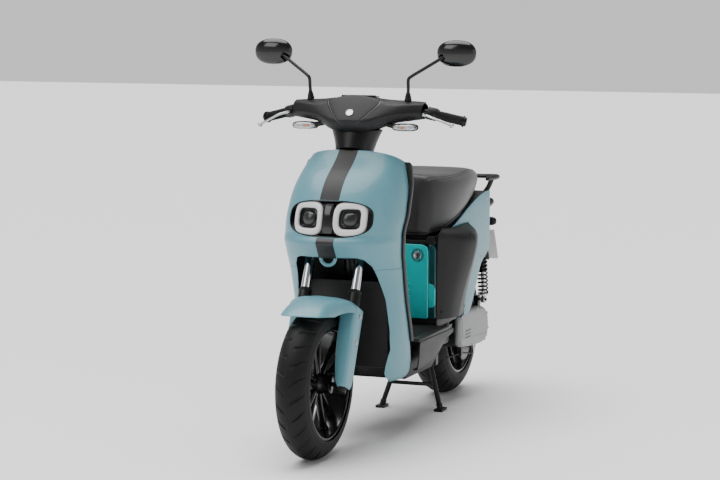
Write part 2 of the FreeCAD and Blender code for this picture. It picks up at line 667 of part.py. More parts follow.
def make_side_panels():
    def panel(side):
        sections = []
        for z, front, rear, widest, x_front, x_rear in SIDE_PANEL:
            length = rear - front
            outer = [(x_front, front), (x_front + (widest - x_front) * 0.75, front + length * 0.22),
                     (widest, front + length * 0.5), (x_rear + (widest - x_rear) * 0.6, rear - length * 0.15),
                     (x_rear, rear)]
            inner = [(x - d.panel_wall, y) for x, y in outer[::-1]]
            sections.append([(side * x, y + rear_shift, z) for x, y in outer + inner])
        return solid("side_panel", loft(sections))
    part("side_panels", mirrored(panel))

    def tail(side):
        corners = [(300, 702), (345, 716), (560, 746), (620, 745), (688, 722), (645, 655), (604, 553),
                   (500, 500), (400, 374), (350, 337), (300, 345), (318, 560)]
        edge = [Vector(100, y + rear_shift, z) for y, z in corners]
        slab = Part.Face(Part.makePolygon(edge + edge[:1])).extrude(Vector(80, 0, 0))
        outside = [(171.6, 290), (171.6, 618), (144, 692)]
        inside = [(x - d.panel_wall, y) for x, y in outside[::-1]]
        ring = [Vector(x, y + rear_shift, 300) for x, y in outside + inside]
        bent = Part.Face(Part.makePolygon(ring + ring[:1])).extrude(Vector(0, 0, 500))
        shape = slab.common(bent)
        if side < 0:
            shape = shape.mirror(Vector(), Vector(1, 0, 0))
        return solid("tail_cover", shape)
    part("tail_covers", mirrored(tail))


def make_body():
    y = "body_front_y + (%s)" % rear_shift
    half = "front_panel_half_width"
    corners = [("-" + half, y), (half, y), (half, y + " + 50"), (half + " - 5", y + " + 50"),
               (half + " - 5", y + " + 5"), ("-(%s - 5)" % half, y + " + 5"),
               ("-(%s - 5)" % half, y + " + 50"), ("-" + half, y + " + 50")]
    panel = padded("XY_Plane", corners, "front_panel_top - front_panel_bottom",
                   (0, 0, "front_panel_bottom"))
    lock = (87, "body_front_y - 5 + (%s)" % rear_shift, 575)
    hole = cylinder("lock_radius + running_clearance", 20, lock, "y")
    part("front_panel", cut(panel, hole))
    part("seat_lock", cylinder("lock_radius", 16, (87, "body_front_y - 2 + (%s)" % rear_shift, 575), "y"))
    part("battery_pack", box(("battery_width", "battery_depth", "battery_height"),
                             ("-battery_width / 2", "78 + (%s)" % rear_shift, "floor_top + 4")))
    outer = box(("2 * box_half_width", 283, 72), ("-box_half_width", "262 + (%s)" % rear_shift, "box_floor"))
    inner = box(("2 * box_half_width - 2 * box_wall", "283 - 2 * box_wall", 80),
                ("-box_half_width + box_wall", "262 + box_wall + (%s)" % rear_shift, "box_floor + box_wall"))
    part("storage_box", cut(outer, inner))


SEAT = (  # station, half width, underside, top
    (38, 104, 652, 822), (60, 138, 650, 850), (150, 172, 664, 852), (280, 186, 704, 850),
    (400, 178, 737, 855), (500, 158, 756, 848), (580, 130, 768, 832), (640, 90, 780, 812),
)


def make_seat():
    sections = []
    for y, half, under, top in SEAT:
        depth = top - under
        corners = [(half * 0.8, top), (half, top - depth * 0.2), (half * 0.97, top - depth * 0.55),
                   (half * 0.88, under)]
        corners += [(-x, z) for x, z in corners[::-1]]
        sections.append([(x, y + rear_shift, z) for x, z in corners])
    part("seat_cushion", solid("cushion", loft(sections)))
    sections = []
    for y, half, under, top in [(45, 112, 651.4, 0)] + list(SEAT[1:-1]):
        x = half * 0.84
        sections.append([(x, y + rear_shift, under - 0.4), (-x, y + rear_shift, under - 0.4),
                         (-x, y + rear_shift, under - 6.4), (x, y + rear_shift, under - 6.4)])
    pan = solid("pan", loft(sections))
    tongue = box((56, 14, 13), (-28, 42 + rear_shift, 633.5))
    hole = cylinder("4 + running_clearance", 90, (-45, 48 + rear_shift, 640), "x")
    notches = [box((9, 40, 30), (side * 33 - 4.5, 38 + rear_shift, 630)) for side in (1, -1)]
    part("seat_pan", cut(fuse([pan, tongue]), hole, *notches))


def make_tail():
    def at(y):
        return "%s + (%s)" % (y, rear_shift)
    path = [(560, 618), (700, 640), (812, 640), (872, 596), (936, 464)]
    lower = [(932, 462), (868, 591), (810, 635), (700, 635), (560, 613)]
    corners = [(at(y), z) for y, z in path + lower]
    part("rear_fender", padded("YZ_Plane", corners, 140, midplane=True))
    plate = box((210, 3, 130), (0, 0, 0))
    plate.Placement = Placement(Vector(), Rotation(Vector(1, 0, 0), 25.9))
    part("licence_plate", move(plate, -105, "half_length - 2.7 + (%s)" % rear_shift, 468))

    def signal(side):
        pod = box((62, 30, 28), (-31, -15, -14))
        return move(fillet(pod, 8), side * 101.4, at(800), 626)
    part("rear_signals", mirrored(signal))
    part("tail_light", box((150, 24, 44), (-75, at(800.4), 676)))
    ends = [(172, 575, 812), (176, 650, 812), (150, 715, 810), (90, 738, 808)]
    height = d.rail_height - 812
    reach = d.rail_end - 738 + rear_shift
    ends = [(x, y + reach, z + height) for x, y, z in ends]
    path = ends + [(-x, y, z) for x, y, z in ends[::-1]]
    pieces = bent_tube(path, "rail_tube")
    for side in (1, -1):
        stem = [(side * 172, 620 + reach, 808 + height), (side * 140, 600 + reach, 735),
                (side * 114, 596 + reach, 673)]
        pieces += bent_tube(stem, "9")
        pieces.append(ball((side * 172, 575 + reach, 812 + height), "rail_tube"))
    frame_rail = [rod((side * 112, 300 + rear_shift, 600), (side * 112, 800 + rear_shift, 700),
                      "tube_radius") for side in (1, -1)]
    part("grab_rail", cut(fuse(pieces), *frame_rail))


# Swing unit

CASE = ((335, 225), (335, 322), (395, 338), (600, 332), (664, 305), (682, 256), (664, 206), (610, 192),
        (480, 198), (380, 208))


def case_face(inset, x):
    corners = [Vector(x, y + rear_shift, z) for y, z in CASE]
    wire = Part.makePolygon(corners + corners[:1])
    if inset:
        wire = wire.makeOffset2D(-inset, 2)
    return Part.Face(wire)


def make_swing_unit():
    pivot_y = d.swing_pivot_y + rear_shift
    pivot_z = d.rail_z - 2
    case = case_face(0, d.case_inner).extrude(Vector(d.case_outer - d.case_inner, 0, 0))
    hollow = case_face(d.case_wall, d.case_inner + d.case_wall).extrude(Vector(d.case_outer, 0, 0))
    case = solid("case", case.cut(hollow))
    pieces = [case, cylinder("swing_tube_radius", 188, (-94, pivot_y, pivot_z), "x"),
              box((16, 60, 30), (78, pivot_y, pivot_z - 15)),
              box((14, 320, 26), (-97, pivot_y, pivot_z - 10)),
              cylinder(20, 14, (-97, rear_axle_y, "rear_tyre_radius"), "x")]
    for side in (1, -1):
        low = 112 if side > 0 else -128
        base = 316 if side > 0 else 256
        pieces.append(box((16, 32, d.shock_foot_z + 14 - base),
                          (low, d.shock_foot_y + rear_shift - 16, base)))
        if side < 0:
            pieces.append(box((36, 32, 14), (-128, d.shock_foot_y + rear_shift - 16, 256)))
        low = 126 if side > 0 else -157
        pieces.append(cylinder("shock_pin", 31, (low, d.shock_foot_y + rear_shift, "shock_foot_z"), "x"))
    pieces.append(box((10, 24, 32), (84, 628 + rear_shift, 173)))
    pieces.append(cylinder(4, 16, (93, 640 + rear_shift, 185), "x"))
    pieces.append(box((16, 14, 50), (92, 473 + rear_shift, 158)))
    tools = [cylinder("swing_pivot_radius + running_clearance", 240, (-120, pivot_y, pivot_z), "x"),
             cylinder("drive_shaft_radius + running_clearance", 190,
                      (-105, rear_axle_y, "rear_tyre_radius"), "x"),
             cylinder("6 + running_clearance", 10, (75, "motor_y + (%s)" % rear_shift, "motor_z"), "x"),
             solid("cable_hole", cable_tube(3))]
    part("swing_unit", cut(fuse(pieces), *tools))
    cover = Part.makeLoft([case_face(0, d.case_outer).OuterWire,
                           case_face(12, d.case_outer + d.cover_depth).OuterWire], True, True)
    inside = case_face(14, d.case_outer).extrude(Vector(d.cover_depth - 5, 0, 0))
    part("drive_cover", solid("cover", cover.cut(inside)))
    part("motor_rotor", move(fuse([cylinder("motor_radius", 20, ("case_inner + 10", 0, 0), "x"),
                                   cylinder(6, 44, ("case_inner + 2", 0, 0), "x"),
                                   cylinder("small_pulley", "belt_width", ("case_outer - 20", 0, 0), "x")]),
                             0, "motor_y + (%s)" % rear_shift, "motor_z"))
    part("drive_belt", solid("belt", belt_loop()))
    part("brake_cable", solid("cable", cable_tube(3)))
    arm = cut(fuse([cylinder(9, 8, (96, 0, 0), "x"), box((8, 12, 44), (96, -6, -44))]),
              cylinder("4 + running_clearance", 20, (90, 0, 0), "x"))
    part("brake_arm", move(arm, 0, "640 + (%s)" % rear_shift, 185))


def belt_face(gap):
    """The area inside a belt that runs outside both pulleys by a gap."""
    small = Vector(0, d.motor_y + rear_shift, d.motor_z)
    large = Vector(0, rear_axle_y, d.rear_tyre_radius)
    line = large - small
    heading = math.atan2(line.z, line.y)
    slope = math.asin((d.large_pulley - d.small_pulley) / line.Length)

    def at(centre, radius, angle):
        return centre + Vector(0, math.cos(angle), math.sin(angle)) * (radius + gap)
    up, down = heading + math.pi / 2 + slope, heading - math.pi / 2 - slope
    ends = [at(large, d.large_pulley, down), at(large, d.large_pulley, up),
            at(small, d.small_pulley, up), at(small, d.small_pulley, down)]
    edges = [Part.Arc(ends[0], at(large, d.large_pulley, heading), ends[1]).toShape(),
             Part.LineSegment(ends[1], ends[2]).toShape(),
             Part.Arc(ends[2], at(small, d.small_pulley, heading + math.pi), ends[3]).toShape(),
             Part.LineSegment(ends[3], ends[0]).toShape()]
    return Part.Face(Part.Wire(edges))


def belt_loop():
    loop = belt_face(0.3 + d.belt_thickness).cut(belt_face(0.3))
    loop.translate(Vector(d.case_outer - 20, 0, 0))
    return loop.extrude(Vector(d.belt_width, 0, 0))


def cable_tube(radius):
    points = [(92, 352, 172), (96, 400, 168), (100, 450, 170), (100, 500, 168), (100, 550, 160),
              (100, 600, 151), (100, 633, 149)]
    points = [Vector(x, y + rear_shift, z) for x, y, z in points]
    edges = []
    last = points[0]
    for before, corner, after in zip(points, points[1:], points[2:]):
        run = min((corner - before).Length, (after - corner).Length) * 0.45
        into, out = (corner - before).normalize(), (after - corner).normalize()
        start, end = corner - into * run, corner + out * run
        middle = (out - into).normalize()
        half = into.getAngle(out) / 2
        reach = run / math.tan(half)
        centre = corner + middle * (reach / math.cos(half))
        edges += [Part.LineSegment(last, start).toShape(),
                  Part.Arc(start, centre - middle * reach, end).toShape()] if half > 1e-6 else []
        last = end if half > 1e-6 else last
    edges.append(Part.LineSegment(last, points[-1]).toShape())
    ring = Part.Wire(Part.makeCircle(radius, points[0], points[1] - points[0]))
    return Part.Wire(edges).makePipeShell([ring], True, False)


def make_shocks():
    foot = Vector(0, d.shock_foot_y + rear_shift, d.shock_foot_z)
    top = Vector(0, d.shock_top_y + rear_shift, d.shock_top_z)
    run = top - foot
    lean = math.degrees(math.atan2(-run.y, run.z))

    def place(item):
        item.Placement = Placement(foot, Rotation(Vector(1, 0, 0), lean))
        return item

    def rod_of(side):
        x = "%d * shock_spacing" % side
        eye = cut(cylinder(13, 14, (x + " - 7", 0, 0), "x"),
                  cylinder("shock_pin + running_clearance", 20, (x + " - 10", 0, 0), "x"))
        return fuse([eye, cylinder(6, 130, (x, 0, 10)), cylinder(20, 5, (x, 0, 20))])

    def body_of(side):
        x = "%d * shock_spacing" % side
        tube = cylinder(14, run.Length - 108 - 16, (x, 0, 108))
        eye = cut(cylinder(18, 14, (x + " - 7", 0, run.Length), "x"),
                  cylinder("shock_pin + 6.6", 20, (x + " - 10", 0, run.Length), "x"))
        cap = cylinder(20, 5, (x, 0, run.Length - 45))
        return cut(fuse([tube, eye, cap]), cylinder("6 + running_clearance", 122, (x, 0, 100)))

    def spring_of(side):
        x = "%d * shock_spacing" % side
        length = run.Length - 45 - 25
        return cut(cylinder(20, length, (x, 0, 25)), cylinder(15, length, (x, 0, 25)))
    part("shock_rods", place(mirrored(rod_of)))
    part("shock_bodies", place(mirrored(body_of)))
    part("shock_springs", place(mirrored(spring_of)))


def make_stand():
    y, z = d.stand_pivot_y + rear_shift, d.stand_pivot_z
    pieces = [cylinder("stand_tube", 152, (-76, y, z), "x")]
    for side in (1, -1):
        pieces.append(rod((side * 60, y, z), (side * 108, y - 25, 12), "9"))
        pieces.append(box((30, 58, 9), (side * 110 - 15, y - 54, 0)))
        pieces.append(rod((side * 109, y - 25, 6), (side * 104, y - 24, 26), "11"))
    pieces.append(rod((-84, y - 12, 90), (84, y - 12, 90), "7"))
    hole = cylinder("stand_pin + running_clearance", 180, (-90, y, z), "x")
    part("centre_stand", cut(fuse(pieces), hole))


for make in (make_front_wheel, make_rear_wheel, make_fork, make_front_fender, make_handlebar, make_grips,
             make_controls, make_bar_cover, make_neck, make_mirrors, make_frame, make_front_cover,
             make_lower_front_covers, make_leg_shield, make_floor, make_side_panels, make_body, make_seat,
             make_tail, make_swing_unit, make_shocks, make_stand):
    make()
    print("built", make.__name__[5:])

document.recompute()
failed = [item.Name for item in document.Objects if "Invalid" in item.State or "Error" in item.State]
if failed:
    raise RuntimeError("failed: " + ", ".join(failed))
for label, item in parts.items():
    if item.Shape.isNull() or not item.Shape.isValid() or not item.Shape.Solids:
        raise RuntimeError("bad shape: " + label)
os.makedirs("parts", exist_ok=True)
for label, item in parts.items():
    item.Shape.exportStep("parts/%s.step" % label)
print(len(parts), "parts")
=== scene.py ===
import json
import math
import bmesh
import bpy
from mathutils import Matrix, Vector

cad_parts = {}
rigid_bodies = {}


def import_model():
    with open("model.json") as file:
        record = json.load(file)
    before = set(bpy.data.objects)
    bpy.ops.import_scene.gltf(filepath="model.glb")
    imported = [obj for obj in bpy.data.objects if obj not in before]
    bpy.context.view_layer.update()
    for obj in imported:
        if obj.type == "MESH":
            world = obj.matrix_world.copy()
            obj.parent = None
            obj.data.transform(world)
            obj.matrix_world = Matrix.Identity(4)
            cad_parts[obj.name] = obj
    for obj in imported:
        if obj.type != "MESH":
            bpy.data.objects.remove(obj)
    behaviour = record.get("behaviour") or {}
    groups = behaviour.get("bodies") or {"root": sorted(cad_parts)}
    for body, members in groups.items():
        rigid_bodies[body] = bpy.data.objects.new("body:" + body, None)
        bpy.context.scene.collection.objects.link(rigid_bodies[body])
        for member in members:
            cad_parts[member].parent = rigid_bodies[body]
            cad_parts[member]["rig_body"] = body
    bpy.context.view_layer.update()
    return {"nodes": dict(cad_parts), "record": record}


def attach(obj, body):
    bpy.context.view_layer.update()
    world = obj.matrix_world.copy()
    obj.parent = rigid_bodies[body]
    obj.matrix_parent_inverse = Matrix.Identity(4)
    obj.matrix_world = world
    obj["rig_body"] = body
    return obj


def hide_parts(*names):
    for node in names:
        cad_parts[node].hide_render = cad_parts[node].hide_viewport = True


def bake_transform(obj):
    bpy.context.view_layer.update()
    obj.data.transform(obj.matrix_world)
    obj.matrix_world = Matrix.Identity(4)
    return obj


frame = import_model()
nodes = frame["nodes"]
bodyOf = {name: node["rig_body"] for name, node in nodes.items()}
slotOf = {row["node"]: row["material_slot"] for row in frame["record"]["subparts"]}
print("frame loaded", len(nodes))


finishBook = {
    "bluePaint": dict(color=(0.1, 0.27, 0.325), drift=0.03, rough=0.42, coat=0.2, grain=900, depth=0.00002),
    "tealPaint": dict(color=(0.0, 0.47, 0.475), drift=0.04, rough=0.24, coat=0.5, grain=900, depth=0.00002),
    "deepTeal": dict(color=(0.0, 0.045, 0.05), drift=0.06, rough=0.32, coat=0.3, grain=900, depth=0.00002),
    "darkPlastic": dict(color=(0.0085, 0.0085, 0.0093), drift=0.14, rough=0.46, dull=0.3, grain=2600,
                        depth=0.00012),
    "greyPlastic": dict(color=(0.085, 0.085, 0.09), drift=0.1, rough=0.55, grain=2000, depth=0.0001),
    "glossBlack": dict(color=(0.004, 0.004, 0.005), drift=0.1, rough=0.14, coat=0.15, grain=500,
                       depth=0.00001),
    "wheelBlack": dict(color=(0.005, 0.005, 0.0055), drift=0.15, rough=0.2, coat=0.2, grain=1200,
                       depth=0.00003),
    "frameBlack": dict(color=(0.004, 0.004, 0.0042), drift=0.2, rough=0.36, dull=0.3, grain=1400,
                       depth=0.00006),
    "tyreRubber": dict(color=(0.004, 0.004, 0.0043), drift=0.3, rough=0.58, dull=0.25, grain=1500,
                       depth=0.00012),
    "softRubber": dict(color=(0.009, 0.009, 0.0095), drift=0.2, rough=0.55, dull=0.25, grain=2200,
                       depth=0.0001),
    "seatVinyl": dict(color=(0.02, 0.02, 0.0212), drift=0.12, rough=0.42, dull=0.35, grain=900, depth=0.00022,
                      leather=True),
    "chrome": dict(color=(0.8, 0.81, 0.83), drift=0.02, rough=0.07, metal=1.0, grain=1600, depth=0.00001),
    "castAlloy": dict(color=(0.56, 0.57, 0.58), drift=0.08, rough=0.32, metal=1.0, grain=1600, depth=0.00005),
    "silverPaint": dict(color=(0.25, 0.255, 0.26), drift=0.05, rough=0.4, metal=0.35, grain=1500,
                        depth=0.00004),
    "steel": dict(color=(0.45, 0.45, 0.46), drift=0.12, rough=0.3, metal=1.0, grain=900, depth=0.00004),
    "stripeGrey": dict(color=(0.02, 0.0195, 0.019), drift=0.06, rough=0.45, dull=0.3, grain=2600,
                       depth=0.0001),
    "stripeBlack": dict(color=(0.008, 0.0078, 0.0078), drift=0.06, rough=0.42, grain=2600, depth=0.0001),
    "lampDark": dict(color=(0.012, 0.013, 0.014), drift=0.3, rough=0.3, coat=0.3, grain=260, depth=0.0002),
    "ringWhite": dict(color=(0.72, 0.715, 0.71), drift=0.02, rough=0.28, coat=0.4, grain=600, depth=0.00001),
    "plateWhite": dict(color=(0.6, 0.6, 0.61), drift=0.03, rough=0.38, grain=700, depth=0.00003),
    "redLens": dict(color=(0.42, 0.01, 0.012), drift=0.08, rough=0.12, coat=0.6, grain=300, depth=0.0001),
    "amberLens": dict(color=(0.75, 0.25, 0.03), drift=0.06, rough=0.2, coat=0.4, grain=400, depth=0.0001),
    "clearLens": dict(color=(0.93, 0.95, 0.96), drift=0.01, rough=0.06, glass=0.9, grain=350, depth=0.00008),
    "mirrorGlass": dict(color=(0.75, 0.78, 0.8), drift=0.01, rough=0.02, metal=1.0, grain=300,
                        depth=0.000005),
    "displayGlass": dict(color=(0.008, 0.009, 0.012), drift=0.1, rough=0.06, coat=0.8, grain=300,
                         depth=0.00001),
}


def makeFinish(name, spec):
    material = bpy.data.materials.new(name)
    material.use_nodes = True
    tree = material.node_tree
    shader = tree.nodes["Principled BSDF"]
    shader.inputs["Metallic"].default_value = spec.get("metal", 0.0)
    shader.inputs["Coat Weight"].default_value = spec.get("coat", 0.0)
    shader.inputs["Coat Roughness"].default_value = 0.08
    shader.inputs["Transmission Weight"].default_value = spec.get("glass", 0.0)
    shader.inputs["Specular IOR Level"].default_value = spec.get("dull", 0.5)
    if spec.get("leather"):
        shader.inputs["Sheen Weight"].default_value = 0.15
    place = tree.nodes.new("ShaderNodeTexCoord")
    cloud = tree.nodes.new("ShaderNodeTexNoise")  # slow drift of tone and polish
    cloud.inputs["Scale"].default_value = 14.0
    cloud.inputs["Detail"].default_value = 3.0
    fine = tree.nodes.new("ShaderNodeTexVoronoi" if spec.get("leather") else "ShaderNodeTexNoise")
    fine.inputs["Scale"].default_value = spec["grain"]
    if spec.get("leather"):
        fine.feature = "DISTANCE_TO_EDGE"
    tone = tree.nodes.new("ShaderNodeValToRGB")
    low, high = 1 - spec["drift"], 1 + spec["drift"]
    tone.color_ramp.elements[0].position, tone.color_ramp.elements[1].position = 0.3, 0.7
    tone.color_ramp.elements[0].color = (*[min(1, c * low) for c in spec["color"]], 1)
    tone.color_ramp.elements[1].color = (*[min(1, c * high) for c in spec["color"]], 1)
    polish = tree.nodes.new("ShaderNodeMapRange")
    polish.inputs["To Min"].default_value = spec["rough"] * 0.88
    polish.inputs["To Max"].default_value = min(1, spec["rough"] * 1.14)
    bump = tree.nodes.new("ShaderNodeBump")
    bump.inputs["Strength"].default_value = 0.5
    bump.inputs["Distance"].default_value = spec["depth"]
    link = tree.links.new
    link(place.outputs["Object"], cloud.inputs["Vector"])
    link(place.outputs["Object"], fine.inputs["Vector"])
    link(cloud.outputs["Fac"], tone.inputs["Fac"])
    link(cloud.outputs["Fac"], polish.inputs["Value"])
    link(fine.outputs[0], bump.inputs["Height"])
    link(tone.outputs["Color"], shader.inputs["Base Color"])
    link(polish.outputs["Result"], shader.inputs["Roughness"])
    link(bump.outputs["Normal"], shader.inputs["Normal"])
    return material


finishes = {name: makeFinish(name, spec) for name, spec in finishBook.items()}
slotFinish = {
    "body_paint": "bluePaint", "dark_trim": "darkPlastic", "gloss_black": "glossBlack",
    "teal_panel": "tealPaint",
    "seat_cover": "seatVinyl", "frame_paint": "frameBlack", "black_paint": "wheelBlack", "tyre": "tyreRubber",
    "rubber": "softRubber", "chrome": "chrome", "alloy": "castAlloy", "silver_paint": "silverPaint",
    "steel": "steel", "clear_lens": "clearLens", "red_lens": "redLens", "plate_white": "plateWhite",
    "display_glass": "displayGlass", "grey_plastic": "greyPlastic",
}
print("finishes", len(finishes))


def catmull(rows, t):
    last = len(rows) - 1
    i = min(int(t), last - 1)
    f = t - i
    a, b, c, d = rows[max(i - 1, 0)], rows[i], rows[i + 1], rows[min(i + 2, last)]
    out = []
    for p, q, r, s in zip(a, b, c, d):
        out.append(0.5 * (2 * q + (r - p) * f + (2 * p - 5 * q + 4 * r - s) * f * f
                          + (3 * q - p - 3 * r + s) * f ** 3))
    return out


# rows are sorted by their first number; gives the other numbers at key, on smooth curves
def smoothRead(rows, key):
    if key <= rows[0][0]:
        return list(rows[0][1:])
    if key >= rows[-1][0]:
        return list(rows[-1][1:])
    i = max(k for k, row in enumerate(rows) if row[0] <= key)
    i = min(i, len(rows) - 2)
    f = (key - rows[i][0]) / (rows[i + 1][0] - rows[i][0])
    out = []
    for column in range(1, len(rows[0])):
        h = rows[i + 1][0] - rows[i][0]
        slopes = []
        for k in (i, i + 1):
            lo, hi = rows[max(k - 1, 0)], rows[min(k + 1, len(rows) - 1)]
            slopes.append((hi[column] - lo[column]) / (hi[0] - lo[0]))
        p, q = rows[i][column], rows[i + 1][column]
        out.append((2 * f ** 3 - 3 * f * f + 1) * p + (f ** 3 - 2 * f * f + f) * h * slopes[0]
                   + (3 * f * f - 2 * f ** 3) * q + (f ** 3 - f * f) * h * slopes[1])
    return out


def smoothLoop(points, steps):
    count = len(points)
    ring = [points[-1], *points, points[0], points[1]]
    out = []
    for i in range(count):
        for k in range(steps):
            out.append(catmull(ring[i:i + 4], 1 + k / steps))
    return out


def meshObject(name, vertices, faces, edges=()):
    mesh = bpy.data.meshes.new(name)
    mesh.from_pydata([tuple(v) for v in vertices], edges, faces)
    mesh.update()
    made = bpy.data.objects.new(name, mesh)
    bpy.context.scene.collection.objects.link(made)
    return made


# rows of points become a sheet; around closes each row, caps closes its ends
def gridObject(name, rows, around=False, caps=False):
    wide = len(rows[0])
    vertices = [p for row in rows for p in row]
    faces = []
    for r in range(len(rows) - 1):
        for c in range(wide if around else wide - 1):
            d = (c + 1) % wide
            faces.append((r * wide + c, r * wide + d, (r + 1) * wide + d, (r + 1) * wide + c))
    if caps:
        faces.append(tuple(range(wide))[::-1])
        faces.append(tuple((len(rows) - 1) * wide + c for c in range(wide)))
    return meshObject(name, vertices, faces)


def tidyNormals(mesh, merge=0.0):
    work = bmesh.new()
    work.from_mesh(mesh)
    if merge:
        bmesh.ops.remove_doubles(work, verts=work.verts, dist=merge)
    bmesh.ops.recalc_face_normals(work, faces=work.faces)
    work.to_mesh(mesh)
    work.free()


def addModifier(piece, kind, **settings):
    modifier = piece.modifiers.new(kind.lower(), kind)
    for key, value in settings.items():
        setattr(modifier, key, value)
    return modifier


# bakes the modifiers into the mesh and leaves the object at the origin
def settle(piece):
    if piece.modifiers:
        deps = bpy.context.evaluated_depsgraph_get()
        mesh = bpy.data.meshes.new_from_object(piece.evaluated_get(deps))
        piece.modifiers.clear()
        piece.data = mesh
    piece.data.transform(piece.matrix_world)
    piece.matrix_world = Matrix.Identity(4)
    return piece


def smooth(piece, angle=35):
    piece.data.polygons.foreach_set("use_smooth", [True] * len(piece.data.polygons))
    piece.data.set_sharp_from_angle(angle=math.radians(angle))
    return piece


def place(piece, body, finish, slot, replaced=(), angle=35):
    settle(piece)
    smooth(piece, angle)
    piece.data.materials.clear()
    piece.data.materials.append(finishes[finish])
    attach(piece, body)
    if replaced:
        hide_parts(*replaced)
    return piece


def joinMeshes(name, pieces):
    work = bmesh.new()
    for piece in pieces:
        settle(piece)
        work.from_mesh(piece.data)
        bpy.data.objects.remove(piece)
    mesh = bpy.data.meshes.new(name)
    work.to_mesh(mesh)
    work.free()
    made = bpy.data.objects.new(name, mesh)
    bpy.context.scene.collection.objects.link(made)
    return made


# a CAD node's own shape, merged, with its edges eased
def easedNode(node, finish, bevel=0.0, angle=35):
    piece = bpy.data.objects.new(node + "Skin", nodes[node].data.copy())
    bpy.context.scene.collection.objects.link(piece)
    work = bmesh.new()
    work.from_mesh(piece.data)
    bmesh.ops.remove_doubles(work, verts=work.verts, dist=0.00002)
    bmesh.ops.dissolve_limit(work, angle_limit=math.radians(0.5), verts=work.verts, edges=work.edges)
    work.to_mesh(piece.data)
    work.free()
    if bevel:
        addModifier(piece, "BEVEL", width=bevel, segments=2, limit_method="ANGLE",
                    angle_limit=math.radians(angle), harden_normals=False)
    return place(piece, bodyOf[node], finish, slotOf[node], (node,), angle)


def tube(name, points, radius, sides):
    curve = bpy.data.curves.new(name, "CURVE")
    curve.dimensions = "3D"
    curve.bevel_depth = radius
    curve.bevel_resolution = max(1, sides // 4 - 1)
    curve.use_fill_caps = True
    spline = curve.splines.new("POLY")
    spline.points.add(len(points) - 1)
    for p, q in zip(spline.points, points):
        p.co = (*q, 1)
    made = bpy.data.objects.new(name, curve)
    bpy.context.scene.collection.objects.link(made)
    deps = bpy.context.evaluated_depsgraph_get()
    mesh = bpy.data.meshes.new_from_object(made.evaluated_get(deps))
    bpy.data.objects.remove(made)
    made = bpy.data.objects.new(name, mesh)
    bpy.context.scene.collection.objects.link(made)
    return made


# a turned shape about the line through centre along axis; profile is (distance along it, radius) pairs
def turned(name, profile, centre, sides=96, axis=Vector((1, 0, 0)), closed=True):
    side = axis.orthogonal().normalized()
    other = axis.cross(side)
    rows = []
    for k in range(sides):
        turn = 2 * math.pi * k / sides
        out = side * math.cos(turn) + other * math.sin(turn)
        rows.append([Vector(centre) + axis * x + out * r for x, r in profile])
    rows.append(rows[0])
    made = gridObject(name, rows, around=closed)
    tidyNormals(made.data, 0.000005)
    return made


mm = 0.001


def point(x, y, z):
    return Vector((x * mm, y * mm, z * mm))


def tagOf(side):
    return "Left" if side > 0 else "Right"


def superPower(value, power):
    return math.copysign(abs(value) ** power, value)


rake = math.radians(24.5)
forkWay = Vector((0, math.sin(rake), math.cos(rake)))


# fork frame: x across, v square to the fork, u up the fork, from the front axle
def forkPoint(x, v, u):
    return point(x, -695 + v * math.cos(rake) + u * math.sin(rake),
                 242 - v * math.sin(rake) + u * math.cos(rake))


def newTree(name, inputs):
    tree = bpy.data.node_groups.new(name, "GeometryNodeTree")
    tree.interface.new_socket("Geometry", in_out="INPUT", socket_type="NodeSocketGeometry")
    for label, kind, value in inputs:
        socket = tree.interface.new_socket(label, in_out="INPUT", socket_type="NodeSocket" + kind)
        if value is not None:
            socket.default_value = value
    tree.interface.new_socket("Geometry", in_out="OUTPUT", socket_type="NodeSocketGeometry")
    return tree, tree.nodes.new("NodeGroupInput"), tree.nodes.new("NodeGroupOutput")


# makes the instances real and gives them their finish
def endTree(tree, start, end, put):
    real = tree.nodes.new("GeometryNodeRealizeInstances")
    coat = tree.nodes.new("GeometryNodeSetMaterial")
    tree.links.new(put.outputs["Instances"], real.inputs["Geometry"])
    tree.links.new(real.outputs["Geometry"], coat.inputs["Geometry"])
    tree.links.new(start.outputs["Finish"], coat.inputs["Material"])
    tree.links.new(coat.outputs["Geometry"], end.inputs["Geometry"])


# the incoming shape, Count times round the x axis
def aroundTree():
    tree, start, end = newTree("aroundAxle", [("Count", "Int", 5), ("Turn", "Float", 0.0),
                                              ("Finish", "Material", None)])
    add, link = tree.nodes.new, tree.links.new
    line = add("GeometryNodeMeshLine")
    line.inputs["Offset"].default_value = (0, 0, 0)
    put = add("GeometryNodeInstanceOnPoints")
    index = add("GeometryNodeInputIndex")
    step = add("ShaderNodeMath")
    step.operation = "DIVIDE"
    step.inputs[0].default_value = 2 * math.pi
    spin = add("ShaderNodeMath")
    spin.operation = "MULTIPLY_ADD"
    turn = add("ShaderNodeCombineXYZ")
    link(start.outputs["Count"], line.inputs["Count"])
    link(start.outputs["Count"], step.inputs[1])
    link(index.outputs[0], spin.inputs[0])
    link(step.outputs[0], spin.inputs[1])
    link(start.outputs["Turn"], spin.inputs[2])
    link(spin.outputs[0], turn.inputs["X"])
    link(line.outputs["Mesh"], put.inputs["Points"])
    link(start.outputs["Geometry"], put.inputs["Instance"])
    link(turn.outputs["Vector"], put.inputs["Rotation"])
    endTree(tree, start, end, put)
    return tree


# the incoming shape, Count times on a straight line of Step spacing
def rowTree():
    tree, start, end = newTree("alongRow", [("Count", "Int", 5), ("Step", "Vector", (0, 0, 0.01)),
                                            ("Finish", "Material", None)])
    add, link = tree.nodes.new, tree.links.new
    line = add("GeometryNodeMeshLine")
    put = add("GeometryNodeInstanceOnPoints")
    link(start.outputs["Count"], line.inputs["Count"])
    link(start.outputs["Step"], line.inputs["Offset"])
    link(line.outputs["Mesh"], put.inputs["Points"])
    link(start.outputs["Geometry"], put.inputs["Instance"])
    endTree(tree, start, end, put)
    return tree


trees = {"around": aroundTree(), "row": rowTree()}


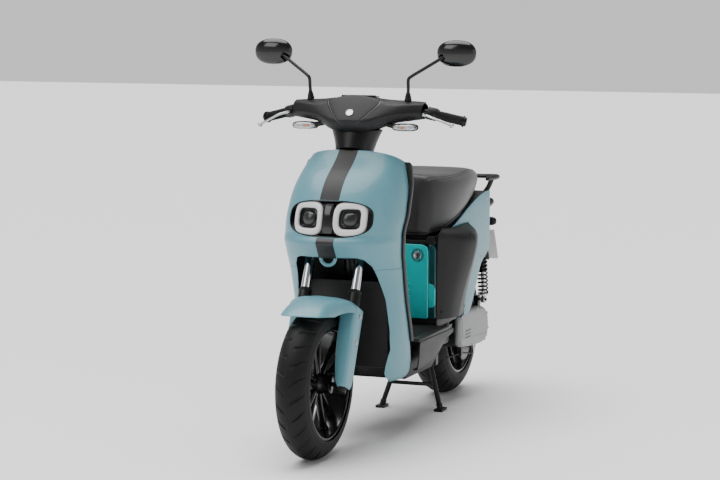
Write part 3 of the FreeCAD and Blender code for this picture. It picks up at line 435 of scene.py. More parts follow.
def repeat(piece, kind, finish, **inputs):
    modifier = piece.modifiers.new("repeat", "NODES")
    modifier.node_group = trees[kind]
    values = dict(inputs, Finish=finishes[finish])
    for item in trees[kind].interface.items_tree:
        if item.item_type == "SOCKET" and item.in_out == "INPUT" and item.name in values:
            modifier[item.identifier] = values[item.name]
    matrix = piece.matrix_world.copy()
    piece.matrix_world = Matrix.Identity(4)
    deps = bpy.context.evaluated_depsgraph_get()
    mesh = bpy.data.meshes.new_from_object(piece.evaluated_get(deps))
    piece.modifiers.clear()
    piece.data = mesh
    piece.matrix_world = matrix
    return settle(piece)


# a rounded block: outline points (a, b) in a plane, pushed along the third axis from low to high
def slab(name, outline, low, high, plane="YZ", bevel=0.0015, segments=3):
    def put(a, b, c):
        return {"YZ": point(c, a, b), "XZ": point(a, c, b), "XY": point(a, b, c)}[plane]
    wide = len(outline)
    made = meshObject(name, [put(a, b, low) for a, b in outline] + [put(a, b, high) for a, b in outline],
                      [tuple(range(wide)), tuple(range(wide, 2 * wide))[::-1]]
                      + [(k, (k + 1) % wide, wide + (k + 1) % wide, wide + k) for k in range(wide)])
    tidyNormals(made.data)
    if bevel:
        addModifier(made, "BEVEL", width=bevel, segments=segments, limit_method="ANGLE",
                    angle_limit=math.radians(25))
    return made


# the profile of a ball, for turned
def ballProfile(radius, steps):
    return [(math.sin(a) * radius, math.cos(a) * radius + 0.00001) for a in
            [-math.pi / 2 + math.pi * k / steps for k in range(steps + 1)]]


# a headed screw whose head faces along axis
def screw(name, centre, axis, radius, height, socket=0.5):
    profile = [(0, 0), (0, radius), (height * 0.55, radius), (height, radius * 0.86),
               (height, radius * socket),
               (height * 0.35, radius * socket * 0.9), (height * 0.35, 0)]
    return turned(name, [(a, max(r, 0.00001)) for a, r in profile], centre, sides=20,
                  axis=Vector(axis).normalized(), closed=False)


apron = dict(
    rows=[  # height, half width, front, rear edge
        (204, 150, -452, -285), (215, 163, -478, -286), (235, 173, -498, -288), (274, 182, -514, -302),
        (334, 187, -516, -328), (386, 188, -508, -348), (486, 189, -501, -388), (560, 190, -530, -409),
        (600, 190, -563, -418), (626, 190, -590, -424), (648, 191, -604, -427), (666, 192, -616, -430),
        (675, 193, -621, -431), (684, 193, -619, -431), (697, 193, -608, -430), (720, 194, -608, -420),
        (751, 195, -605, -399), (782, 193, -594, -382), (812, 191, -578, -366), (844, 186, -556, -348),
        (874, 178, -526, -335), (900, 170, -488, -324), (917, 164, -460, -317), (940, 153, -428, -307),
        (975, 133, -392, -293),
    ],
    across=0.75, along=0.9, wall=3.0, seamHeight=587.6, step=6.0, sides=96,
    arch=[(-139, 190), (-139, 240), (-160, 320), (-160, 386), (-152, 486), (-141, 545), (-131, 600),
          (-115, 624),
          (-96, 630.5), (96, 630.5), (115, 624), (131, 600), (141, 545), (152, 486), (160, 386), (160, 320),
          (139, 240), (139, 190)],
    lamp=dict(halfWidth=143, middle=753.5, halfHeight=58.5, power=2.9),
    stripe=33,
)


def apronSection(z):
    return smoothRead(apron["rows"], z)


def apronPoint(z, share):
    half, front, rear = apronSection(z)
    turn = share * math.pi / 2
    x = half * superPower(math.sin(turn), apron["across"])
    y = rear + (front - rear) * abs(math.cos(turn)) ** apron["along"]
    return point(x, y, z)


def apronDepth(x, z, out=0.0):
    half, front, rear = apronSection(z)
    share = min(1, abs(x) / (half + out)) ** (2 / apron["across"])
    return rear + (front - out - rear) * max(0.0, 1 - share) ** (apron["along"] / 2)


# the plane square to the fork that the top edge lies in
topPlane = dict(point=forkPoint(0, 0, 776), normal=forkWay)


def sliced(piece, planes):
    work = bmesh.new()
    work.from_mesh(piece.data)
    for spot, normal in planes:
        bmesh.ops.bisect_plane(work, geom=work.verts[:] + work.edges[:] + work.faces[:], plane_co=spot,
                               plane_no=normal, clear_outer=True)
    work.to_mesh(piece.data)
    work.free()
    return piece


def cutAway(piece, tool):
    settle(tool)
    addModifier(piece, "BOOLEAN", object=tool, operation="DIFFERENCE", solver="EXACT")
    settle(piece)
    bpy.data.objects.remove(tool)
    return piece


def ovalOutline(halfWidth, halfHeight, power, middle=0.0, centre=0.0, steps=96):
    out = []
    for k in range(steps):
        turn = 2 * math.pi * k / steps
        out.append((centre + halfWidth * superPower(math.cos(turn), 2 / power),
                    middle + halfHeight * superPower(math.sin(turn), 2 / power)))
    return out


def makeApron():
    rows = []
    z = apron["rows"][0][0]
    while z <= apron["rows"][-1][0]:
        rows.append([apronPoint(z, -1 + 2 * k / apron["sides"]) for k in range(apron["sides"] + 1)])
        z += apron["step"]
    lampCut = apron["lamp"]
    for name, node, planes in (
            ("frontCoverSkin", "front_cover", [(point(0, 0, apron["seamHeight"] + 0.5), Vector((0, 0, -1))),
                                               (topPlane["point"], topPlane["normal"])]),
            ("lowerCoverSkin", "lower_front_covers",
             [(point(0, 0, apron["seamHeight"] - 0.5), Vector((0, 0, 1)))])):
        piece = sliced(gridObject(name, rows), planes)
        tidyNormals(piece.data)
        addModifier(piece, "SOLIDIFY", thickness=apron["wall"] * mm, offset=-1)
        settle(piece)
        low = -760
        cutAway(piece, slab("archTool", apron["arch"], low, -380, "XZ", bevel=0))
        if node == "front_cover":
            cutAway(piece, slab("lampTool", ovalOutline(lampCut["halfWidth"], lampCut["halfHeight"],
                                                        lampCut["power"], lampCut["middle"]), low, -450, "XZ",
                                bevel=0))
        addModifier(piece, "BEVEL", width=0.0008, segments=2, limit_method="ANGLE",
                    angle_limit=math.radians(50))
        place(piece, "chassis", "bluePaint", "body_paint", (node,), angle=50)


# inlays that lie on the front cover
def onApron(name, low, high, half, out, wall, finish, slot, steps=40):
    rows = []
    for r in range(steps + 1):
        z = low + (high - low) * r / steps
        rows.append([point(x, apronDepth(x, z, out), z)
                     for x in [half * (-1 + 2 * k / 12) for k in range(13)]])
    piece = sliced(gridObject(name, rows), [(topPlane["point"], topPlane["normal"])])
    tidyNormals(piece.data)
    addModifier(piece, "SOLIDIFY", thickness=wall * mm, offset=-1)
    addModifier(piece, "BEVEL", width=0.0003, segments=1, limit_method="ANGLE", angle_limit=math.radians(50))
    return place(piece, "chassis", finish, slot)


def makeStripe():
    lamp = apron["lamp"]
    top = lamp["middle"] + lamp["halfHeight"]
    low = lamp["middle"] - lamp["halfHeight"]
    onApron("upperStripe", top + 1, 972, apron["stripe"], 0.7, 1.0, "stripeGrey", "dark_trim")
    onApron("lowerStripe", 627.5, low - 1, apron["stripe"] - 3, 0.7, 1.0, "stripeBlack", "dark_trim")
    arc = [point(25 * math.cos(a), -586, 630 + 25 * math.sin(a)) for a in
           [math.pi + math.pi * k / 24 for k in range(25)]]
    ring = tube("towRing", arc, 0.006, 16)
    place(ring, "chassis", "bluePaint", "body_paint")


lampParts = dict(ringX=70.5, ringHalf=(51, 54), holeHalf=(35, 32.5), ringPower=3.4, holePower=4.2)


def ovalSheet(name, rings, steps=96, closeCentre=False):
    rows = []
    for halfWidth, halfHeight, power, centre, middle, deep in rings:
        row = []
        for x, z in ovalOutline(halfWidth, halfHeight, power, middle, centre, steps):
            row.append(point(x, apronDepth(x, z) + deep, z))
        rows.append(row)
    piece = gridObject(name, rows, around=True)
    if closeCentre:
        work = bmesh.new()
        work.from_mesh(piece.data)
        work.verts.ensure_lookup_table()
        start = len(work.verts) - steps
        work.faces.new([work.verts[start + k] for k in range(steps)])
        work.to_mesh(piece.data)
        work.free()
    return piece


def makeHeadlight():
    lamp = apron["lamp"]
    w, h, p, m = lamp["halfWidth"], lamp["halfHeight"], lamp["power"], lamp["middle"]
    bowl = ovalSheet("lampBowl", [
        (w - 0.6, h - 0.6, p, 0, m, 3), (w - 1.2, h - 1.2, p, 0, m, 1.2), (w - 3, h - 3, p, 0, m, 1.4),
        (w - 4, h - 4, p, 0, m, 6), (w - 7, h - 6, p, 0, m, 20), (w - 14, h - 10, p, 0, m, 25),
        (w * 0.7, h * 0.7, p, 0, m, 26), (w * 0.4, h * 0.4, 2.4, 0, m, 26), (w * 0.1, h * 0.1, 2, 0, m, 26)],
        closeCentre=True)
    place(bowl, "chassis", "glossBlack", "gloss_black", ("headlight_housing",))
    bar = ovalSheet("lampBar", [(19, 50, 5, 0, m, 20), (18, 49, 5, 0, m, 12), (15, 45, 5, 0, m, 10.5),
                                (5, 20, 4, 0, m, 10)], closeCentre=True)
    place(bar, "chassis", "glossBlack", "gloss_black")
    for side in (-1, 1):
        centre = side * lampParts["ringX"]
        (a, b), (c, d) = lampParts["ringHalf"], lampParts["holeHalf"]
        e, f = lampParts["ringPower"], lampParts["holePower"]
        rings = [(a, b, e, centre, m, 22), (a, b, e, centre, m, 9), (a - 1.5, b - 1.5, e, centre, m, 5.5),
                 (a - 5, b - 5, e, centre, m, 3.4), ((a + c) / 2, (b + d) / 2, (e + f) / 2, centre, m, 3.0),
                 (c + 4, d + 4, f, centre, m, 4.4), (c + 1, d + 1, f, centre, m, 8), (c, d, f, centre, m, 12),
                 (c - 2, d - 2, f, centre, m, 22)]
        ring = ovalSheet("lightRing" + tagOf(side), rings)
        tidyNormals(ring.data)
        place(ring, "chassis", "ringWhite", "clear_lens", angle=60)
        cell = ovalSheet("lampCell" + tagOf(side), [
            (c - 2, d - 2, f, centre, m, 15), (c - 5, d - 5, f, centre, m, 23),
            (c - 9, d - 9, f, centre, m, 24),
            (c * 0.72, d * 0.74, 2.4, centre, m, 23), (c * 0.66, d * 0.7, 2.2, centre, m, 18),
            (c * 0.5, d * 0.52, 2, centre, m, 13.5), (c * 0.25, d * 0.26, 2, centre, m, 11.4),
            (c * 0.05, d * 0.05, 2, centre, m, 11)], closeCentre=True)
        place(cell, "chassis", "lampDark", "gloss_black", angle=50)


makeApron()
makeStripe()
makeHeadlight()
print("front cover and headlight made")


fender = dict(radius=264, wall=3.2, lipFront=(-852, 476), lipBack=(-700, 457),
              screws=((115, 1, 226), (113.6, 2, 141)))


# the crowned band, centre line to lower side edge, as (x, height above the band radius)
fenderSide = [(0, 12), (22, 11), (42, 8), (57, 3), (67, -4), (74, -15), (77.5, -28), (79, -42)]


def makeFenderBand():
    across = [(-x, h) for x, h in fenderSide[:0:-1]] + fenderSide
    fine = [catmull(across, t / 4) for t in range(4 * (len(across) - 1) + 1)]
    rows = []
    for k in range(61):
        turn = math.radians(-78 + 96 * k / 60)
        flare = smoothRead([(-90, 0), (-38, 0), (-26, 10), (-16, 25), (-8, 31), (20, 32)],
                           math.degrees(turn))[0]
        row = []
        for x, h in fine:
            share = min(1, max(0, (abs(x) - 30) / 45))
            wide = x + math.copysign(flare * share * share, x)
            r = fender["radius"] + h + (8 * share if flare > 1 else 0) * flare / 32
            row.append(forkPoint(wide, r * math.sin(turn), r * math.cos(turn)))
        rows.append(row)
    piece = gridObject("fenderBand", rows)
    front, back = point(0, *fender["lipFront"]), point(0, *fender["lipBack"])
    down = (back - front).cross(Vector((1, 0, 0))).normalized()
    if down.z > 0:
        down = -down
    sliced(piece, [(front, down), (forkPoint(0, 34, 0), Vector((0, math.cos(rake), -math.sin(rake))))])
    tidyNormals(piece.data)
    addModifier(piece, "SOLIDIFY", thickness=fender["wall"] * mm, offset=-1)
    settle(piece)
    return piece


def makeLegCover(side):
    rows = []
    inner = [(-14, 90), (0, 82), (20, 77), (60, 71), (110, 66), (160, 63), (200, 62), (262, 62)]
    for k in range(37):
        u = -12 + 262 * k / 36
        near = smoothRead(inner, u)[0]
        back = smoothRead([(-12, 14), (0, 25), (14, 30), (40, 32), (262, 30)], u)[0]
        lean = smoothRead([(-12, 4), (0, 0), (262, 0)], u)[0]
        path = [(near, -27 + lean), (near, -31 + lean), (near + 2, -35 + lean), (near + 6, -36.5 + lean),
                ((near + 104) / 2, -38 + lean), (101, -36.5 + lean), (106, -34 + lean), (109.5, -29 + lean),
                (111.4, -20), (112, -5), (111.6, (back - 5) / 2), (110.8, back - 6), (109.4, back)]
        fine = [catmull(path, t / 3) for t in range(3 * (len(path) - 1) + 1)]
        rows.append([forkPoint(side * x, v, u) for x, v in fine])
    piece = gridObject("legCover", rows)
    tidyNormals(piece.data)
    addModifier(piece, "SOLIDIFY", thickness=2.4 * mm, offset=1 if side > 0 else -1)
    settle(piece)
    return piece


def makeFender():
    covers = [makeLegCover(side) for side in (-1, 1)]
    piece = joinMeshes("frontFenderSkin", [makeFenderBand()] + covers)
    addModifier(piece, "BEVEL", width=0.0006, segments=2, limit_method="ANGLE", angle_limit=math.radians(50))
    place(piece, "fork", "bluePaint", "body_paint", ("front_fender",), angle=50)
    screws = []
    for side in (-1, 1):
        for x, v, u in fender["screws"]:
            screws.append(screw("fenderScrew", forkPoint(side * x, v, u), (side, 0, 0), 0.0085, 0.0034))
    place(joinMeshes("fenderScrews", screws), "fork", "steel", "steel")


makeFender()
print("fender made")


# rings of equal count, joined on smooth curves; along and around are steps per given row and point
def smoothLoft(name, rings, along, around, caps=True):
    rows = []
    for t in range(along * (len(rings) - 1) + 1):
        reach = t / along
        i = min(int(reach), len(rings) - 2)
        near = [rings[max(i - 1, 0)], rings[i], rings[i + 1], rings[min(i + 2, len(rings) - 1)]]
        flat = [catmull([near[0][k], near[1][k], near[2][k], near[3][k]], 1 + reach - i)
                for k in range(len(rings[0]))]
        rows.append([Vector(p) for p in smoothLoop(flat, around)])
    piece = gridObject(name, rows, around=True, caps=caps)
    tidyNormals(piece.data, 0.000005)
    return piece


# a tube along smooth points; each size is (radius across, radius along up)
def sweep(name, points, sizes, sides=20, steps=6, up=Vector((0, 0, 1)), rounded=True):
    last = len(points) - 1
    rows = []
    for t in range(steps * last + 1):
        spot = Vector(catmull(points, t / steps))
        ahead = Vector(catmull(points, min(last, t / steps + 0.02)))
        behind = Vector(catmull(points, max(0, t / steps - 0.02)))
        along = (ahead - behind).normalized()
        across = along.cross(up).normalized()
        high = across.cross(along).normalized()
        wide, tall = catmull(sizes, t / steps)
        rows.append([spot + across * math.cos(a) * wide * mm + high * math.sin(a) * tall * mm
                     for a in [2 * math.pi * k / sides for k in range(sides)]])
    if rounded:
        for end, beyond in ((0, 1), (-1, -2)):
            centre = sum(rows[end], Vector()) / sides
            out = (centre - sum(rows[beyond], Vector()) / sides).normalized()
            size = min((p - centre).length for p in rows[end])
            extra = [[centre + (p - centre) * math.cos(a) + out * size * math.sin(a) for p in rows[end]]
                     for a in (0.5, 1.0, 1.35)]
            rows = extra[::-1] + rows if end == 0 else rows + extra
    piece = gridObject(name, rows, around=True, caps=True)
    tidyNormals(piece.data)
    return piece


# small stitches set along a line of points
def stitchTree():
    tree, start, end = newTree("stitchLine", [("Spacing", "Float", 0.006), ("Long", "Float", 0.004),
                                              ("Thick", "Float", 0.0006), ("Finish", "Material", None)])
    add, link = tree.nodes.new, tree.links.new
    line = add("GeometryNodeMeshToCurve")
    spread = add("GeometryNodeResampleCurve")
    spread.mode = "LENGTH"
    stitch = add("GeometryNodeMeshCylinder")
    stitch.inputs["Vertices"].default_value = 6
    put = add("GeometryNodeInstanceOnPoints")
    tangent = add("GeometryNodeInputTangent")
    turn = add("FunctionNodeAlignEulerToVector")
    turn.axis = "Z"
    link(start.outputs["Geometry"], line.inputs["Mesh"])
    link(line.outputs["Curve"], spread.inputs["Curve"])
    link(start.outputs["Spacing"], spread.inputs["Length"])
    link(start.outputs["Long"], stitch.inputs["Depth"])
    link(start.outputs["Thick"], stitch.inputs["Radius"])
    link(tangent.outputs[0], turn.inputs["Vector"])
    link(spread.outputs["Curve"], put.inputs["Points"])
    link(stitch.outputs["Mesh"], put.inputs["Instance"])
    link(turn.outputs[0], put.inputs["Rotation"])
    endTree(tree, start, end, put)
    return tree


trees["stitch"] = stitchTree()


shield = dict(middle=[(334, -282), (400, -300), (540, -328), (700, -355), (800, -352), (855, -342),
                      (930, -312),
                      (972, -296)], wider=[(334, 7), (720, 7), (812, 9), (900, 15), (972, 16)])


def makeShield():
    rings = []
    for z in range(334, 973, 11):
        half, front, rear = apronSection(z)
        centre = smoothRead(shield["middle"], z)[0]
        edge = rear + 0.6
        w = half + smoothRead(shield["wider"], z)[0]
        back = [(w - 1, edge), (w, edge + 3), (w, edge + 14), (w - 0.6, edge + 22), (w - 4, edge + 29),
                (w - 22, (edge + 32 + centre) / 2 + 2), (w - 40, centre + 1), (w - 62, centre + 4.6),
                (60, centre + 5)]
        face = [(60, centre + 1), (w - 64, centre + 0.6), (w - 44, centre - 4),
                (w - 26, (edge + centre) / 2 - 3),
                (w - 9, edge)]
        ring = back + [(-x, y) for x, y in back[::-1]] + [(-x, y) for x, y in face[::-1]] + face
        rings.append([point(x, y, z) for x, y in ring])
    piece = gridObject("legShieldSkin", rings, around=True, caps=True)
    tidyNormals(piece.data)
    sliced(piece, [(topPlane["point"], topPlane["normal"])])
    work = bmesh.new()
    work.from_mesh(piece.data)
    bmesh.ops.holes_fill(work, edges=[e for e in work.edges if e.is_boundary])
    work.to_mesh(piece.data)
    work.free()
    cutAway(piece, turned("lockTool", [(0, 0.00001), (0, 0.0133), (0.07, 0.0133), (0.07, 0.00001)],
                          point(-75, -380, 850), 40, Vector((0, 1, 0)), closed=False))
    place(piece, "chassis", "darkPlastic", "dark_trim", ("leg_shield",), angle=32)
    collar = turned("ignitionRing",
                    [(0, 0.0134), (0, 0.019), (0.003, 0.0185), (0.0042, 0.017), (0.003, 0.0134)],
                    point(-75, -337.2, 850), 40, Vector((0, 1, 0)))
    place(collar, "chassis", "greyPlastic", "dark_trim")


barRows = [
    (0, ((-396, 1024), (-414, 1060), (-348, 1134), (-320, 1132), (-272, 1121), (-246, 1090), (-256, 1040),
         (-300, 1022))),
    (60, ((-395, 1026), (-410, 1058), (-352, 1126), (-325, 1130), (-272, 1120), (-248, 1090), (-258, 1040),
          (-300, 1024))),
    (120, ((-365, 1050), (-382, 1075), (-360, 1108), (-320, 1124), (-270, 1118), (-250, 1090), (-262, 1058),
           (-310, 1045))),
    (180, ((-345, 1060), (-357, 1081), (-344, 1109), (-308, 1121), (-270, 1111), (-256, 1087), (-267, 1064),
           (-305, 1055))),
    (225, ((-330, 1066), (-338, 1085), (-325, 1110), (-300, 1118), (-270, 1105), (-262, 1085), (-272, 1068),
           (-300, 1062))),
]
barFine = [(x, [c for pair in corners for c in pair]) for x, corners in barRows]
barFine = [(-x, *flat) for x, flat in barFine[:0:-1]] + [(x, *flat) for x, flat in barFine]


# a spot on the bar cover: x across, s round the section in corner steps, out from the surface
def barPoint(x, s, out=0.0, soft=0.72):
    flat = smoothRead(barFine, x)
    corners = [(flat[2 * k], flat[2 * k + 1]) for k in range(8)]
    i, f = int(s) % 8, s - int(s)
    near = [corners[(i + k - 1) % 8] for k in range(4)]
    curve = catmull(near, 1 + f)
    line = [near[1][0] + (near[2][0] - near[1][0]) * f, near[1][1] + (near[2][1] - near[1][1]) * f]
    y, z = [a * soft * 0.55 + b * (1 - soft * 0.55) for a, b in zip(curve, line)]
    middle = (sum(c[0] for c in corners) / 8, sum(c[1] for c in corners) / 8)
    away = Vector((0, y - middle[0], z - middle[1]))
    away = away * (1 + out / away.length)
    return point(x, middle[0] + away.y, middle[1] + away.z)


visor = dict(top=2.22, low=0.72, proud=2.4, badge=1.3)


# half width of the raised shield at s round the section
def visorHalf(s):
    return smoothRead([(0.66, 0), (0.72, 16), (0.8, 26), (0.95, 36), (1.15, 50), (1.4, 66), (1.7, 82),
                       (2.02, 88),
                       (2.16, 87), (2.22, 80)], s)[0]


def makeBarCover():
    rows = []
    for k in range(-58, 59):
        x = 225 * k / 58
        rows.append([barPoint(x, 8 * j / 64) for j in range(64)])
    piece = gridObject("barCoverSkin", rows, around=True)
    tidyNormals(piece.data)
    addModifier(piece, "SOLIDIFY", thickness=0.004, offset=-1)
    settle(piece)
    hole = turned("stemTool", [(-0.1, 0.00001), (-0.1, 0.026), (0.005, 0.026), (0.005, 0.00001)],
                  forkPoint(0, 30, 905), 40, forkWay, closed=False)
    cutAway(piece, hole)
    place(piece, "steering", "darkPlastic", "dark_trim", ("bar_cover",), angle=50)
    # the second sheet is a gloss black band 4.6 mm wider than the raised shield and almost flat on the cover:
    # painted shade standing for the shadow in the groove round the shield
    for name, grow, out, finish, slot in (("visorSkin", 0, visor["proud"], "darkPlastic", "dark_trim"),
                                          ("visorGroovePaintedShade", 4.6, 0.5, "glossBlack", "dark_trim")):
        rows = []
        for k in range(49):
            s = visor["low"] + (visor["top"] - visor["low"]) * k / 48
            if grow:
                s = visor["low"] - 0.03 + (visor["top"] + 0.02 - visor["low"] + 0.03) * k / 48
            half = visorHalf(s) + grow
            row = []
            for j in range(33):
                share = -1 + 2 * j / 32
                edge = min(1 - abs(share) ** 8, 1, (s - visor["low"] + 0.06) * 14)
                row.append(barPoint(half * share, s, out * (0.35 + 0.65 * max(0, edge)) if not grow else out))
            rows.append(row)
        plate = gridObject(name, rows)
        tidyNormals(plate.data, 0.00001)
        addModifier(plate, "SOLIDIFY", thickness=0.0024 if not grow else 0.0004, offset=-1)
        addModifier(plate, "BEVEL", width=0.0006, segments=2, limit_method="ANGLE",
                    angle_limit=math.radians(50))
        place(plate, "steering", finish, slot, ("visor",) if not grow else (), angle=50)
    s = visor["badge"]
    centre = barPoint(0, s, visor["proud"] - 0.2)
    out = (barPoint(4, s) - barPoint(-4, s)).cross(barPoint(0, s + 0.05) - barPoint(0, s - 0.05)).normalized()
    out = out if out.y < 0 else -out
    badge = turned("badgeDisc",
                   [(0, 0.00001), (0, 0.0125), (0.0018, 0.0125), (0.0026, 0.0118), (0.0026, 0.0095),
                                 (0.0017, 0.0088), (0.0017, 0.00001)], centre, 48, out, closed=False)
    place(badge, "steering", "castAlloy", "dark_trim")
    rim = slab("meterBezel", ovalOutline(60, 21, 5, -293, 0, 48), 1122, 1133, "XY", 0.002)
    place(rim, "steering", "darkPlastic", "dark_trim")
    easedNode("meter", "displayGlass", 0.0015)


def makeNeck():
    rings = []
    for t in range(5):
        share = t / 4
        ring = []
        for k in range(24):
            turn = 2 * math.pi * k / 24
            low = forkPoint(62 * math.cos(turn), 16 + 60 * math.sin(turn), 781)
            high = point(86 * math.cos(turn), -326 + 64 * math.sin(turn), 1023.4)
            ring.append(Vector((low.x + (high.x - low.x) * share ** 1.5, *low.lerp(high, share)[1:])))
        rings.append(ring)
    piece = smoothLoft("neckSkin", rings, 5, 2, caps=False)
    addModifier(piece, "SOLIDIFY", thickness=0.0045, offset=-1)
    place(piece, "steering", "frameBlack", "dark_trim", ("neck_cover",))


gripWay = Vector((122, 30, -29)).normalized()


def gripPoint(side, along, shift=(0, 0, 0)):
    spot = Vector((225, -295, 1084)) + gripWay * along + Vector(shift)
    return point(side * spot.x, spot.y, spot.z)


def makeGrips():
    for node, side in (("left_grip", 1), ("throttle_grip", -1)):
        way = Vector((side * gripWay.x, gripWay.y, gripWay.z))
        start = gripPoint(side, 38)
        profile = [(0, 11.2), (0, 18.6), (2, 19.2), (4.5, 19.2), (6, 17.5), (7, 14.6), (79, 14.6), (80, 15.8),
                   (84, 16),
                   (86, 15), (86, 11.2)]
        core = turned("gripCore", [(a * mm, r * mm) for a, r in profile], start, 48, way)
        rib = turned("gripRib", [(-0.0009, 0.0142), (-0.0008, 0.0156), (0, 0.016), (0.0008, 0.0156),
                                 (0.0009, 0.0142)],
                     start + way * 0.011, 36, way)
        ribs = repeat(rib, "row", "softRubber", Count=26, Step=tuple(way * 0.00265))
        place(joinMeshes(node.replace("_", "") + "Skin", [core, ribs]), bodyOf[node], "softRubber", "rubber",
              (node,))
        weight = turned("barWeight",
                        [(0, 0.00001), (0, 0.0135), (0.002, 0.0152), (0.009, 0.0152), (0.0115, 0.013),
                                      (0.0115, 0.006), (0.009, 0.005), (0.009, 0.00001)],
                        gripPoint(side, 125.5), 40, way, closed=False)
        place(weight, "steering", "frameBlack", "frame_paint")
    easedNode("handlebar", "frameBlack")


def makeLevers():
    for node, side, drop in (("brake_lever_left", 1, 32), ("brake_lever_right", -1, 44)):
        base = Vector((side * 238, -346, 1078))
        spots = [(0, 0, 0), (12, -4, -3), (30, -8.5, -9), (52, -9.5, -(9 + (drop - 9) * 0.3)),
                 (76, -9.2, -(9 + (drop - 9) * 0.68)), (96, -9, -drop)]
        points = [Vector(base + Vector((side * x, y, z))) * mm for x, y, z in spots]
        blade = sweep("leverBlade", points, [(6.5, 4.2), (6, 4), (5.6, 4), (5, 3.9), (4.6, 3.9), (4.2, 4.2)],
                      20, 5)
        knob = turned("leverKnob", ballProfile(0.008, 12), points[-1], 24, closed=False)
        lean = Vector((side * 0.3, 0, 0.954)).normalized()
        eye = turned("leverEye",
                     [(-4.2 * mm, 3.1 * mm), (-4.2 * mm, 7.6 * mm), (-3.4 * mm, 8 * mm), (3.4 * mm, 8 * mm),
                                  (4.2 * mm, 7.6 * mm), (4.2 * mm, 3.1 * mm)], base * mm, 32, lean)
        place(joinMeshes(node.replace("_", "") + "Skin", [blade, knob, eye]), bodyOf[node], "castAlloy",
              "alloy", (node,))
    easedNode("switch_housings", "darkPlastic", 0.0008)
    easedNode("horn_button", "greyPlastic", 0.0012)
    easedNode("signal_switch", "greyPlastic", 0.0012)


def roundedBlock(name, centre, halves, power, rings=12, around=40):
    rows = []
    for r in range(rings + 1):
        tilt = -math.pi / 2 + math.pi * r / rings
        along, reach = superPower(math.sin(tilt), 2 / power), superPower(math.cos(tilt), 2 / power)
        row = []
        for k in range(around):
            turn = 2 * math.pi * k / around
            spot = [along, reach * superPower(math.cos(turn), 2 / power),
                    reach * superPower(math.sin(turn), 2 / power)]
            row.append(point(*[c + h * s for c, h, s in zip(centre, halves, spot)]))
        rows.append(row)
    piece = gridObject(name, rows, around=True)
    tidyNormals(piece.data, 0.00001)
    return piece


def makeSignals():
    for side in (-1, 1):
        tag = tagOf(side)
        x = side * 174
        lens = roundedBlock("frontLens" + tag, (x, -357, 1036), (42, 12.5, 12), 3.2)
        place(lens, "steering", "clearLens", "clear_lens", ("front_signals",) if side > 0 else ())
        back = roundedBlock("frontPod" + tag, (x, -349, 1036.5), (45, 12, 12.9), 3.2)
        place(back, "steering", "darkPlastic", "dark_trim")
        bowl = roundedBlock("frontBowl" + tag, (x, -359.5, 1036), (36, 6, 8.6), 3)
        place(bowl, "steering", "castAlloy", "clear_lens")
        bulb = roundedBlock("frontBulb" + tag, (x - side * 8, -366, 1036), (13, 2.6, 4.6), 2.4)
        place(bulb, "steering", "amberLens", "clear_lens")
        arm = sweep("frontStem" + tag, [point(side * 96, -345, 1050), point(side * 120, -350, 1043),
                                        point(side * 146, -351, 1038)], [(11, 9), (9.5, 8.5), (10, 9)], 16, 4)
        place(arm, "steering", "darkPlastic", "dark_trim")
        x = side * 107
        pod = roundedBlock("rearPod" + tag, (x, 796, 626), (31, 13, 16.5), 3.0)
        place(pod, "chassis", "darkPlastic", "dark_trim")
        lens = roundedBlock("rearLens" + tag, (x, 804, 626), (28, 11, 13.4), 3.0)
        place(lens, "chassis", "clearLens", "clear_lens", ("rear_signals",) if side > 0 else ())
        bulb = roundedBlock("rearBulb" + tag, (x, 809, 626), (11, 3.4, 5), 2.4)
        place(bulb, "chassis", "amberLens", "clear_lens")


# an oval round the middle of a mirror head
def mirrorRing(centre, grow, back):
    ring = []
    for k in range(72):
        turn = 2 * math.pi * k / 72
        ring.append(point(centre[0] + 66 * grow * superPower(math.cos(turn), 2 / 2.35), centre[1] + back,
                          centre[2] + 43 * grow * superPower(math.sin(turn), 2 / 2.35)))
    return ring


